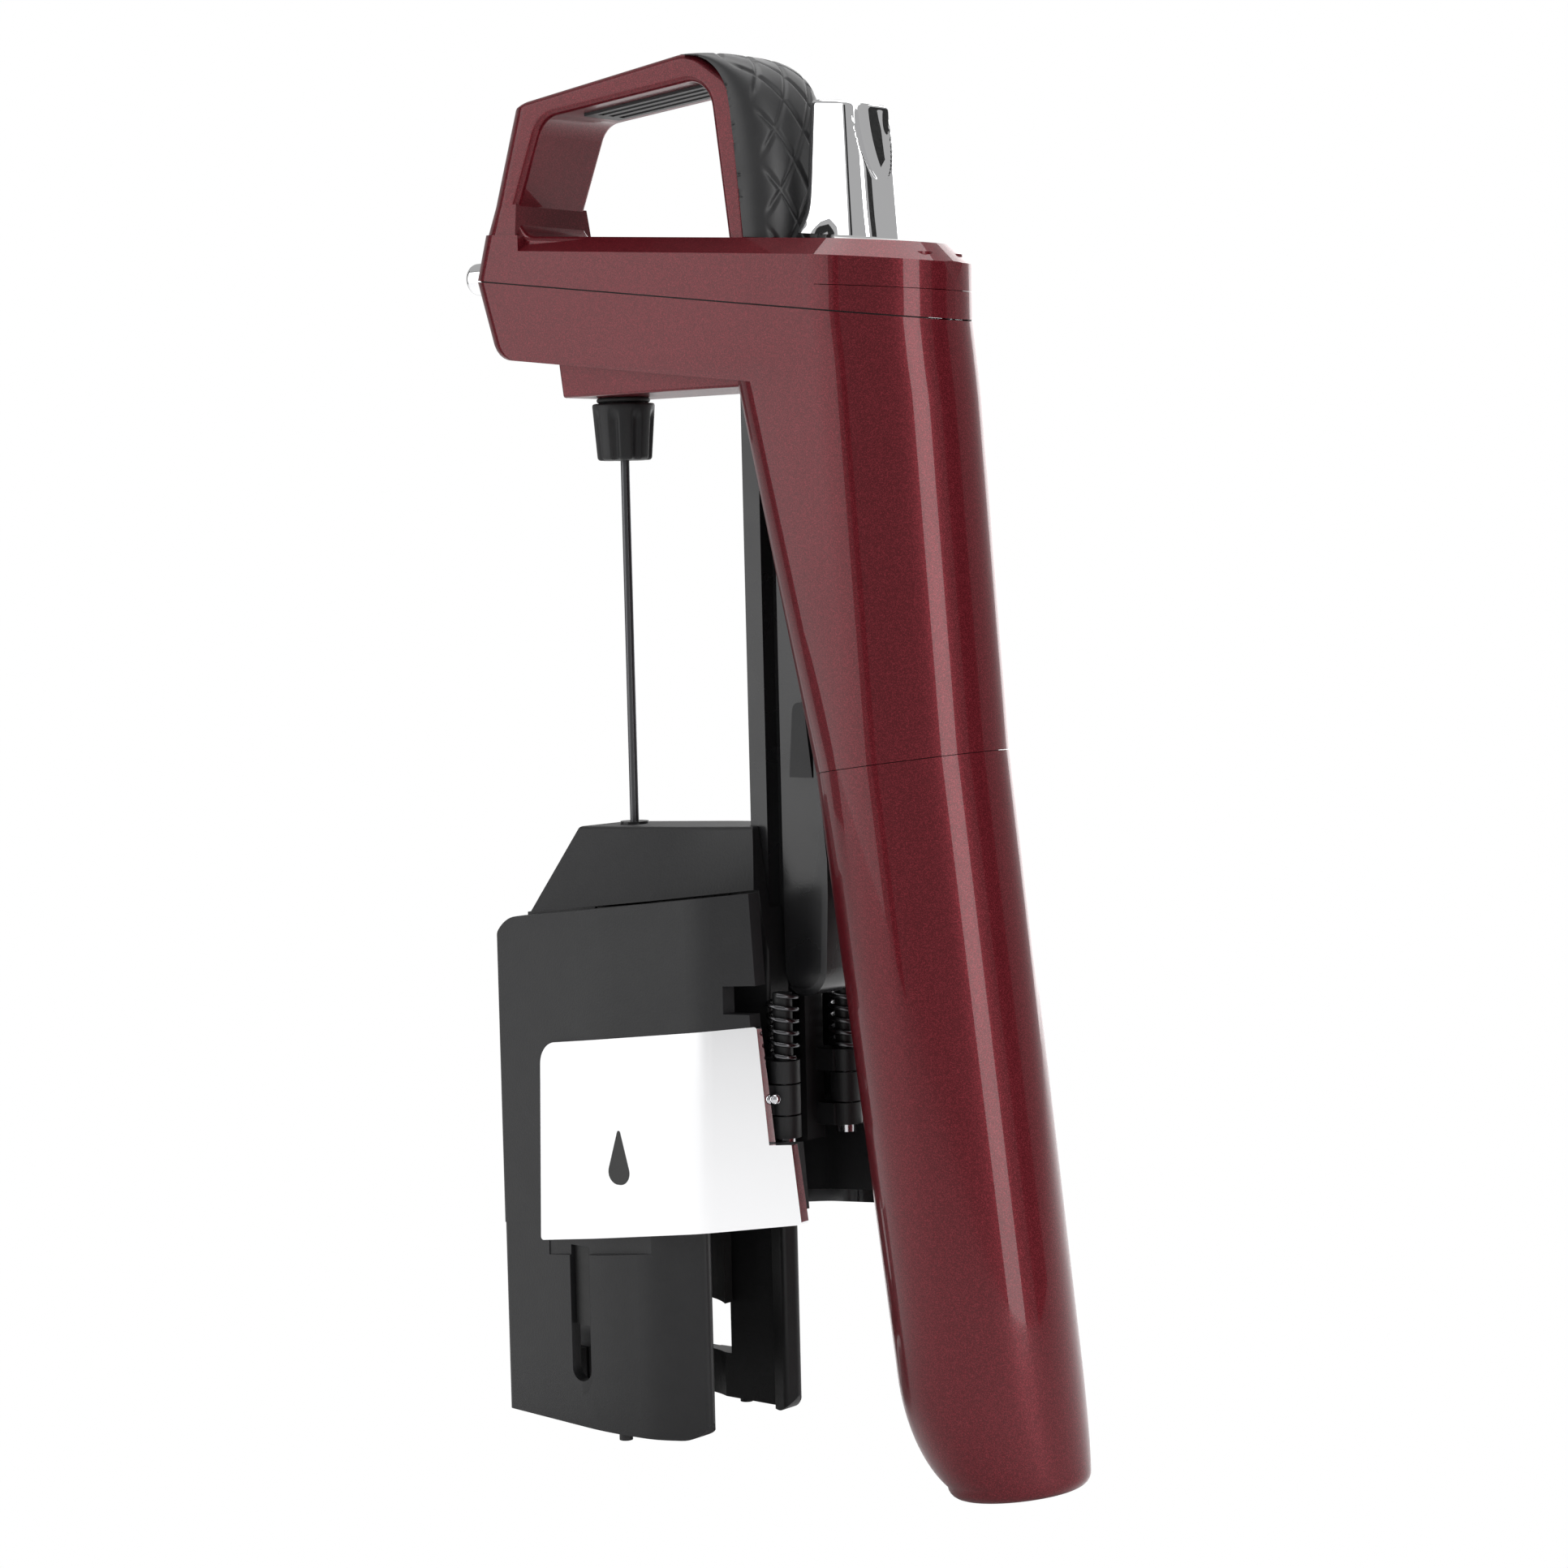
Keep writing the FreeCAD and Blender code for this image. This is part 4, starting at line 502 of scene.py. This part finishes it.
def head_ring(share):
    points = []
    nose, level = head_profile(share)
    slope = -0.116 + (-0.127 + 0.116) * share
    corner = 5.0
    shoulder = half_width(nose + corner)
    for index in range(FRONT_COUNT):
        if index < 5:
            x, y = nose, (shoulder - corner) * index / 5
        else:
            angle = (index - 5) / 13 * math.pi / 2
            x, y = nose + corner * (1 - math.cos(angle)), shoulder - corner + corner * math.sin(angle)
        points.append((x, y, level + slope * (x - nose)))
    floor_points = leg_at_floor()
    side = math.atan(HEAD_TAPER)
    for index in range(FRONT_COUNT, len(leg_low)):
        x, y = floor_points[index][0], floor_points[index][1]
        if index < FRONT_COUNT + 12:
            goal_x, goal_y = x, half_width(x)
        else:
            angle = (math.pi / 2 + side) * (1 - (index - FRONT_COUNT - 12) / 32)
            goal_x, goal_y = BACK_X + BODY_R * math.cos(angle), BODY_R * math.sin(angle)
        x, y = x + (goal_x - x) * share, y + (goal_y - y) * min(1.0, share * 3)
        low, high = floor_level(x), seam_level(x) - SEAM
        points.append((x, y, low + (high - low) * share))
    return np.array(points)


def leg_at_floor():
    rows = []
    for low, high in zip(leg_low, leg_high):
        step = high - low
        share = (158.2 - 0.116 * low[0] - low[2]) / (step[2] + 0.116 * step[0])
        rows.append(low + step * share)
    return np.array(rows)


at_floor = leg_at_floor()
rings = [leg_low + (at_floor - leg_low) * share for share in np.linspace(0.0, 1.0, 21)]
rings += [head_ring(share) for share in (0.0, 0.09, 0.18, 0.27, 0.36, 0.45, 0.6, 0.8, 1.0)]
print("rings:", len(rings), "head nose at", [round(v, 1) for v in rings[-1][0]])


# %% Skin the rings
def skin(rings, close_low=True, close_high=True):
    """A closed mesh through half rings that are mirrored to the other side of y = 0."""
    rows = []
    for half in rings:
        other = half[1:-1][::-1] * np.array([1, -1, 1])
        rows.append(np.concatenate([half, other]))
    count = len(rows[0])
    points = [tuple(p * MM) for row in rows for p in row]
    faces = []
    for row in range(len(rows) - 1):
        for index in range(count):
            here, there = row * count + index, row * count + (index + 1) % count
            faces.append((here, there, there + count, here + count))
    if close_low:
        faces.append(tuple(range(count)))
    if close_high:
        faces.append(tuple(range((len(rows) - 1) * count, len(rows) * count)))
    return points, faces


def piece_mesh(name, points, faces, material):
    mesh = bpy.data.meshes.new(name)
    mesh.from_pydata(points, [], faces)
    mesh.materials.append(material)
    return mesh


points, faces = skin(rings)
shell_mesh = piece_mesh("housing_shell", points, faces, finishes["paint"])
keep_piece("housing_shell", shell_mesh, "housing", ["main_housing"], 28.0)

# %% [markdown]
# The wedge under the head holds the needle's socket. It is a plain block with slightly softened
# edges, so a bevelled box is enough.

# %% Wedge
side_view = [(-5.4, 152.9), (36.5, 152.9), (36.5, 161.0), (-6.6, 161.0)]
half = 10.0
points = [(x * MM, y * MM, z * MM) for y in (-half, half) for x, z in side_view]
faces = [(0, 1, 2, 3), (7, 6, 5, 4)] + [(i, (i + 1) % 4 + 0, (i + 1) % 4 + 4, i + 4) for i in range(4)]
wedge_mesh = piece_mesh("needle_wedge", points, faces, finishes["paint"])
wedge = keep_piece("needle_wedge", wedge_mesh, "housing", ["main_housing"], 28.0)
rounding = wedge.modifiers.new("soft edges", "BEVEL")
rounding.width = 0.4 * MM
rounding.segments = 2

# %% [markdown]
# ## The palm pad
# The silicone pad is cushion-shaped and its face is quilted: two families of slanting grooves cross
# into diamonds. The cushion comes from a path down the handle's back with a rounded section, and
# a rule then presses the grooves into it, measured along the surface, so the diamonds keep their
# size over the bend.

# %% Cushion
PAD_BACK = [(24.4, 209.95), (28.0, 210.35), (31.5, 209.9), (35.0, 208.6), (38.3, 206.6), (40.4, 204.0),
            (41.9, 200.8), (43.0, 196.5), (43.8, 190.0), (44.1, 183.0), (44.3, 177.35)]
PAD_INNER = [(24.2, 209.9), (26.0, 209.9), (28.6, 209.2), (30.6, 208.3), (32.6, 206.6), (34.0, 204.6),
             (34.9, 201.5), (35.4, 197.0), (36.2, 190.0), (36.9, 183.0), (37.4, 178.0)]
PAD_HALF = 10.25
stations, across_count = 90, 56


def along(path, count):
    """Even points along a path of (x, z) corners, rounded by a running average."""
    path = np.array(path)
    gaps = np.r_[0, np.cumsum(np.hypot(*np.diff(path, axis=0).T))]
    even = np.linspace(0, gaps[-1], count)
    rows = np.column_stack([np.interp(even, gaps, path[:, 0]), np.interp(even, gaps, path[:, 1])])
    for _ in range(30):
        rows[1:-1] = (rows[:-2] + rows[1:-1] * 2 + rows[2:]) / 4
    return rows, gaps[-1]


outer, pad_length = along(PAD_BACK, stations)
inner, _ = along(PAD_INNER, stations)
points, faces, marks = [], [], []
for row in range(stations):
    for col in range(across_count + 1):
        share = -1 + 2 * col / across_count
        y = math.sin(share * math.pi / 2)
        swell = (1 - abs(y) ** 2.7) ** (1 / 2.7) if abs(y) < 1 else 0.0
        x, z = inner[row] + (outer[row] - inner[row]) * swell
        points.append((x * MM, y * PAD_HALF * MM, z * MM))
        marks.append((pad_length * row / (stations - 1), y * PAD_HALF * 1.15))
width = across_count + 1
base = len(points)
for row in range(stations):
    for side in (-1, 1):
        x, z = inner[row]
        points.append((x * MM, side * PAD_HALF * MM, z * MM))
for row in range(stations - 1):
    for col in range(across_count):
        here = row * width + col
        faces.append((here, here + 1, here + 1 + width, here + width))
    left, right = base + row * 2, base + row * 2 + 1
    faces.append((left, right, right + 2, left + 2))
for row in (0, stations - 1):
    faces.append(tuple(row * width + col for col in range(width)))
pad_mesh = piece_mesh("grip_cushion_seed", points, faces, finishes["grip_rubber"])
flat = pad_mesh.attributes.new("spread", "FLOAT_VECTOR", "POINT")
for index, (s_mm, y_mm) in enumerate(marks):
    flat.data[index].vector = (s_mm, y_mm, 1.0)
shape = bmesh.new()
shape.from_mesh(pad_mesh)
bmesh.ops.remove_doubles(shape, verts=shape.verts, dist=2e-6)
bmesh.ops.recalc_face_normals(shape, faces=shape.faces)
shape.to_mesh(pad_mesh)
shape.free()
print("cushion", round(pad_length, 1), "mm long")

# %% Quilting rule
QUILT = [("Step", 7.6), ("Groove Width", 0.9), ("Depth", 0.42), ("Slant", 0.72)]
tree, start, size, end = new_rule("quilting_rule", QUILT)
finer = tree.nodes.new("GeometryNodeSubdivideMesh")
finer.inputs["Level"].default_value = 1
tree.links.new(start.outputs["Geometry"], finer.inputs["Mesh"])
mark = add_node(tree, "GeometryNodeInputNamedAttribute", data_type="FLOAT_VECTOR")
mark.inputs["Name"].default_value = "spread"
spot = add_node(tree, "ShaderNodeSeparateXYZ")
tree.links.new(mark.outputs["Attribute"], spot.inputs[0])
run, wide, on_face = (Field(tree, spot.outputs[axis]) for axis in "XYZ")


def groove(slanted):
    """1 in the middle of a groove, falling to 0 at its edges."""
    nearest = (slanted / size["Step"]).join("FRACT", 0.0)
    distance = (nearest - 0.5).join("ABSOLUTE", 0.0) * size["Step"]
    return 1.0 - (distance / size["Groove Width"]).clamped()


pressed = groove(run * size["Slant"] + wide).join("MAXIMUM", groove(run * size["Slant"] - wide))
pressed = pressed * on_face * (1.0 - ((wide.join("ABSOLUTE", 0.0) - 9.4) / 1.2).clamped())
pressed = pressed * ((run - 1.0) / 2.0).clamped() * size["Depth"] * -MM
push = add_node(tree, "ShaderNodeVectorMath", operation="SCALE")
tree.links.new(tree.nodes.new("GeometryNodeInputNormal").outputs[0], push.inputs["Vector"])
tree.links.new(pressed.socket, push.inputs["Scale"])
shape = tree.nodes.new("GeometryNodeSetPosition")
tree.links.new(finer.outputs["Mesh"], shape.inputs["Geometry"])
tree.links.new(push.outputs[0], shape.inputs["Offset"])
end_rule(tree, shape.outputs["Geometry"], end, finishes["grip_rubber"])
keep_piece("grip_cushion", run_rule("grip_cushion", tree, {"Step": 7.6, "Depth": 0.42}, pad_mesh),
           "housing", ["grip_pad"], 50.0)

# %% [markdown]
# ## Springs
# Each arm is pressed shut by a torsion spring: a wire wound in close turns round a post. A helix
# with a round profile is a textbook rule.

# %% Arm springs
SPRING = [("Turns", 5.2), ("Coil Radius", 2.45), ("Wire Radius", 0.42), ("Height", 10.9)]
tree, start, size, end = new_rule("spring_rule", SPRING)
helix = tree.nodes.new("GeometryNodeCurveSpiral")
helix.inputs["Resolution"].default_value = 40
for label, source in (("Rotations", "Turns"), ("Start Radius", "Coil Radius"), ("End Radius", "Coil Radius"),
                      ("Height", "Height")):
    tree.links.new(size[source].socket, helix.inputs[label])
wire = tree.nodes.new("GeometryNodeCurvePrimitiveCircle")
wire.inputs["Resolution"].default_value = 12
tree.links.new(size["Wire Radius"].socket, wire.inputs["Radius"])
sweep = tree.nodes.new("GeometryNodeCurveToMesh")
sweep.inputs["Fill Caps"].default_value = True
tree.links.new(helix.outputs[0], sweep.inputs["Curve"])
tree.links.new(wire.outputs[0], sweep.inputs["Profile Curve"])
end_rule(tree, sweep.outputs["Mesh"], end, finishes["spring_steel"])
for name, side in (("left", -1), ("right", 1)):
    mesh = run_rule("spring_coil_" + name, tree, {"Turns": 5.2, "Height": 10.9})
    mesh.transform(Matrix.Translation((0.0405, side * 0.0085, 0.0384)) @ Matrix.Scale(MM, 4))
    keep_piece("spring_coil_" + name, mesh, "slider", ["arm_spring_" + name], 60.0)

# %% [markdown]
# ## The needle's hub
# You unscrew the needle by this little fluted cone. Its flutes repeat evenly round the axis, so the
# radius is a function of the angle.

# %% Hub by rule
HUB = [("Flutes", 8), ("Low Radius", 4.9), ("High Radius", 5.6), ("Flute Depth", 0.75), ("Round", 0.6)]
tree, start, size, end = new_rule("fluted_hub_rule", HUB)
grid = tree.nodes.new("GeometryNodeMeshGrid")
grid.inputs["Vertices X"].default_value = 161
grid.inputs["Vertices Y"].default_value = 31
spot = add_node(tree, "ShaderNodeSeparateXYZ")
tree.links.new(tree.nodes.new("GeometryNodeInputPosition").outputs[0], spot.inputs[0])
around = (Field(tree, spot.outputs["X"]) + 0.5) * (2 * math.pi)
ring = (Field(tree, spot.outputs["Y"]) + 0.5) * 30.0
low_turn = ((ring - 1.0) / 6.0).clamped() * (math.pi / 2)
rise = ((ring - 7.0) / 16.0).clamped()
top_turn = ((ring - 23.0) / 4.0).clamped() * (math.pi / 2)
radius = size["Low Radius"] + (size["High Radius"] - size["Low Radius"]) * rise
dip = ((around * size["Flutes"]).cos() * -1.0 - 0.15).clamped()
radius = radius - dip * size["Flute Depth"] * (1.0 - ((ring - 19.0) / 3.0).clamped())
radius = radius - size["Round"] * (1.0 - low_turn.sin()) - size["Round"] * (1.0 - top_turn.cos()) * 0.5
radius = radius * ring.over(0.5) * ring.under(27.5)
radius = radius + size["Low Radius"] * 0.78 * ring.over(27.5) * ring.under(29.5)
level = size["Round"] * (1.0 - low_turn.cos()) + rise * 9.0 + top_turn.sin() * 0.45
level = level + (ring - 28.0).clamped() * 7.4
point = add_node(tree, "ShaderNodeCombineXYZ")
tree.links.new((radius * around.cos()).socket, point.inputs["X"])
tree.links.new((radius * around.sin()).socket, point.inputs["Y"])
tree.links.new((level + 141.8).socket, point.inputs["Z"])
shape = tree.nodes.new("GeometryNodeSetPosition")
tree.links.new(grid.outputs["Mesh"], shape.inputs["Geometry"])
tree.links.new(point.outputs[0], shape.inputs["Position"])
end_rule(tree, shape.outputs["Geometry"], end, finishes["black_plastic"])
mesh = run_rule("fluted_hub", tree, {"Flutes": 8})
mesh.transform(Matrix.Scale(MM, 4))
keep_piece("fluted_hub", mesh, "needle", ["needle_hub"], 40.0)

# %% [markdown]
# ## The trigger
# The chromed trigger is a narrow blade with a thumb hollow in its back and a foot that flares to
# the front and sides. Mirror-bright metal shows every wobble, so it is built from many smooth
# rounded-rectangle rings whose sizes follow curves, not from a few cuts.

# %% Trigger blade
RISE = np.array([0.0, 1.0, 2.2, 3.6, 5.4, 8.0, 14.0, 22.4])
FRONT = np.interp(np.linspace(0, 22.4, 60), RISE, [45.3, 45.6, 46.0, 46.4, 46.65, 46.8, 47.05, 47.4])
FRONT_HALF = np.interp(np.linspace(0, 22.4, 60), RISE, [9.0, 8.5, 7.8, 7.2, 6.9, 6.7, 6.35, 5.9])
BACK = np.interp(np.linspace(0, 22.4, 60), RISE, [60.1, 60.0, 59.9, 59.75, 59.6, 59.4, 59.0, 58.4])
for curve in (FRONT, FRONT_HALF, BACK):
    for _ in range(6):
        curve[1:-1] = (curve[:-2] + curve[1:-1] * 2 + curve[2:]) / 4


def blade_ring(step, inset=0.0, drop=0.0):
    rise = 22.4 * step / 59 - drop
    front, back, wide = FRONT[step] + inset, BACK[step] - inset, FRONT_HALF[step] - inset
    narrow = 6.1 - 0.4 * rise / 22.4 - inset
    points = []
    for index in range(49):
        angle = math.pi * (1 - index / 48)
        power = 2 / 3.6
        across = abs(math.sin(angle)) ** power
        lengthwise = math.copysign(abs(math.cos(angle)) ** power, math.cos(angle))
        share = (lengthwise + 1) / 2
        x = (front + back) / 2 + (back - front) / 2 * lengthwise
        y = (wide + (narrow - wide) * min(1.0, share * 1.6)) * across
        if x > 52.0:
            hollow = 1 - (y / 5.0) ** 2 - ((rise - 20.5) / 11.5) ** 2
            x -= 2.6 * max(0.0, hollow) ** 0.8 * min(1.0, (x - 52.0) / 5.0)
        points.append((x, max(y, 0.0), 177.5 + rise - 0.11 * (x - 52.2)))
    return np.array(points)


rings = [blade_ring(0, 0.5), blade_ring(0)] + [blade_ring(step) for step in range(1, 58)]
rings += [blade_ring(58, 0.1, 0.1), blade_ring(59, 0.35, 0.12), blade_ring(59, 0.9, 0.0)]
points, faces = skin(rings)
blade_mesh = piece_mesh("trigger_blade", points, faces, finishes["chrome"])
keep_piece("trigger_blade", blade_mesh, "trigger", ["trigger"], 50.0)

# %% [markdown]
# ## Studio
# The object hangs half a millimetre above a pale floor. A camera with a long lens looks at its left
# side and back, and a little down. Big soft lights stand in for a light tent, and dark cards beside
# them draw the dark streaks that make gloss paint and chrome look glossy. Floor and world are pure
# white to the camera only. The rest of the scene gets a dimmer world, so dark parts stay dark.

# %% Floor
FLOOR_GAP = 0.5 * MM
floor_z = cad_low.z - FLOOR_GAP
mesh = bpy.data.meshes.new("studio_floor")
reach = 12.0
mesh.from_pydata([(-reach, -reach, floor_z), (reach, -reach, floor_z), (reach, reach, floor_z),
                  (-reach, reach, floor_z)], [], [(0, 1, 2, 3)])
floor = bpy.data.objects.new("studio_floor", mesh)
bpy.context.collection.objects.link(floor)
floor_finish, tree, shader = finish("pale_floor", (0.92, 0.92, 0.92), low=0.7, high=0.8, marks_scale=3.0)
glow = add_node(tree, "ShaderNodeEmission")
seen = add_node(tree, "ShaderNodeLightPath")
blend = add_node(tree, "ShaderNodeMixShader")
tree.links.new(seen.outputs["Is Camera Ray"], blend.inputs[0])
tree.links.new(shader.outputs["BSDF"], blend.inputs[1])
tree.links.new(glow.outputs["Emission"], blend.inputs[2])
tree.links.new(blend.outputs["Shader"], tree.nodes["Material Output"].inputs["Surface"])
mesh.materials.append(floor_finish)
floor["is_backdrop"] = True

# %% Camera
eye = Vector((0.410177, -0.455548, 0.124))
azimuth, pitch, roll = math.radians(39.471), math.radians(3.8214), 0.024
level = Vector((-math.sin(azimuth), math.cos(azimuth), 0.0))
look = (level * math.cos(pitch) - Vector((0, 0, 1)) * math.sin(pitch)).normalized()
right = look.cross(Vector((0, 0, 1))).normalized()
up = right.cross(look)
cam_right = right * math.cos(roll) - up * math.sin(roll)
cam_up = right * math.sin(roll) + up * math.cos(roll)
data = bpy.data.cameras.new("camera")
data.sensor_width = 36.0
data.lens = 78.26
data.clip_start, data.clip_end = 0.01, 20.0
camera = bpy.data.objects.new("camera", data)
turn = Matrix((cam_right, cam_up, -look)).transposed().to_4x4()
camera.matrix_world = Matrix.Translation(eye) @ turn
bpy.context.collection.objects.link(camera)
bpy.context.scene.camera = camera
print("camera at", [round(v, 3) for v in eye])


# %% Lights
def soft_light(name, place, aim, width, height, power):
    lamp = bpy.data.lights.new(name, "AREA")
    lamp.shape = "RECTANGLE"
    lamp.size, lamp.size_y = width, height
    lamp.energy = power
    holder = bpy.data.objects.new(name, lamp)
    holder.location = place
    holder.rotation_mode = "QUATERNION"
    holder.rotation_quaternion = (Vector(aim) - Vector(place)).to_track_quat("-Z", "Y")
    holder.visible_camera = False
    bpy.context.collection.objects.link(holder)
    return holder


centre = Vector((0.03, 0.0, 0.09))
soft_light("key", (-0.62, -0.74, 0.25), centre, 0.9, 1.1, 5.0)
soft_light("fill", (0.9, -0.15, 0.25), centre, 0.3, 0.8, 4.0)
soft_light("top", (0.0, 0.1, 0.9), centre, 0.8, 0.8, 6.0)
soft_light("back", (-0.2, 0.8, 0.3), centre, 0.6, 0.8, 4.0)

world = bpy.data.worlds.new("studio")
bpy.context.scene.world = world
world.use_nodes = True
background = world.node_tree.nodes["Background"]
background.inputs["Color"].default_value = (1.0, 1.0, 1.0, 1.0)
dim = add_node(world.node_tree, "ShaderNodeMapRange")
WORLD_ON_OBJECT = 0.42
dim.inputs["To Min"].default_value = WORLD_ON_OBJECT
dim.inputs["To Max"].default_value = 1.0
seen = add_node(world.node_tree, "ShaderNodeLightPath")
world.node_tree.links.new(seen.outputs["Is Camera Ray"], dim.inputs["Value"])
world.node_tree.links.new(dim.outputs["Result"], background.inputs["Strength"])
bpy.context.scene.view_settings.view_transform = "Standard"


# %% Dark cards
def dark_card(name, place, aim, width, height):
    """A black board that shows only as a dark streak in glossy surfaces."""
    toward = (Vector(aim) - Vector(place)).normalized()
    across = toward.cross(Vector((0, 0, 1))).normalized() * (width / 2)
    upward = across.cross(toward).normalized() * (height / 2)
    middle = Vector(place)
    corners = [middle - across - upward, middle + across - upward, middle + across + upward,
               middle - across + upward]
    mesh = bpy.data.meshes.new(name)
    mesh.from_pydata([tuple(c) for c in corners], [], [(0, 1, 2, 3)])
    card = bpy.data.objects.new(name, mesh)
    bpy.context.collection.objects.link(card)
    mesh.materials.append(finishes["black_card"])
    card.visible_shadow = False
    card.visible_camera = False
    card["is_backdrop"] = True
    return card


finish("black_card", (0.005, 0.005, 0.005), low=0.8, high=0.9)
dark_card("card_right", (0.75, 0.35, 0.15), centre, 0.3, 1.2)
dark_card("card_front", (-0.1, -1.0, 0.12), centre, 0.12, 1.0)
dark_card("card_left", (-0.75, -0.25, 0.15), centre, 0.25, 1.2)

# %% [markdown]
# ## Sizes and finish
# The visual model is meant to fill the same box as the CAD model, so both boxes are printed.

# %% Print the sizes and finish
low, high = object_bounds()
print("visual box in mm:", [round(v / MM, 1) for v in (*low, *high)])
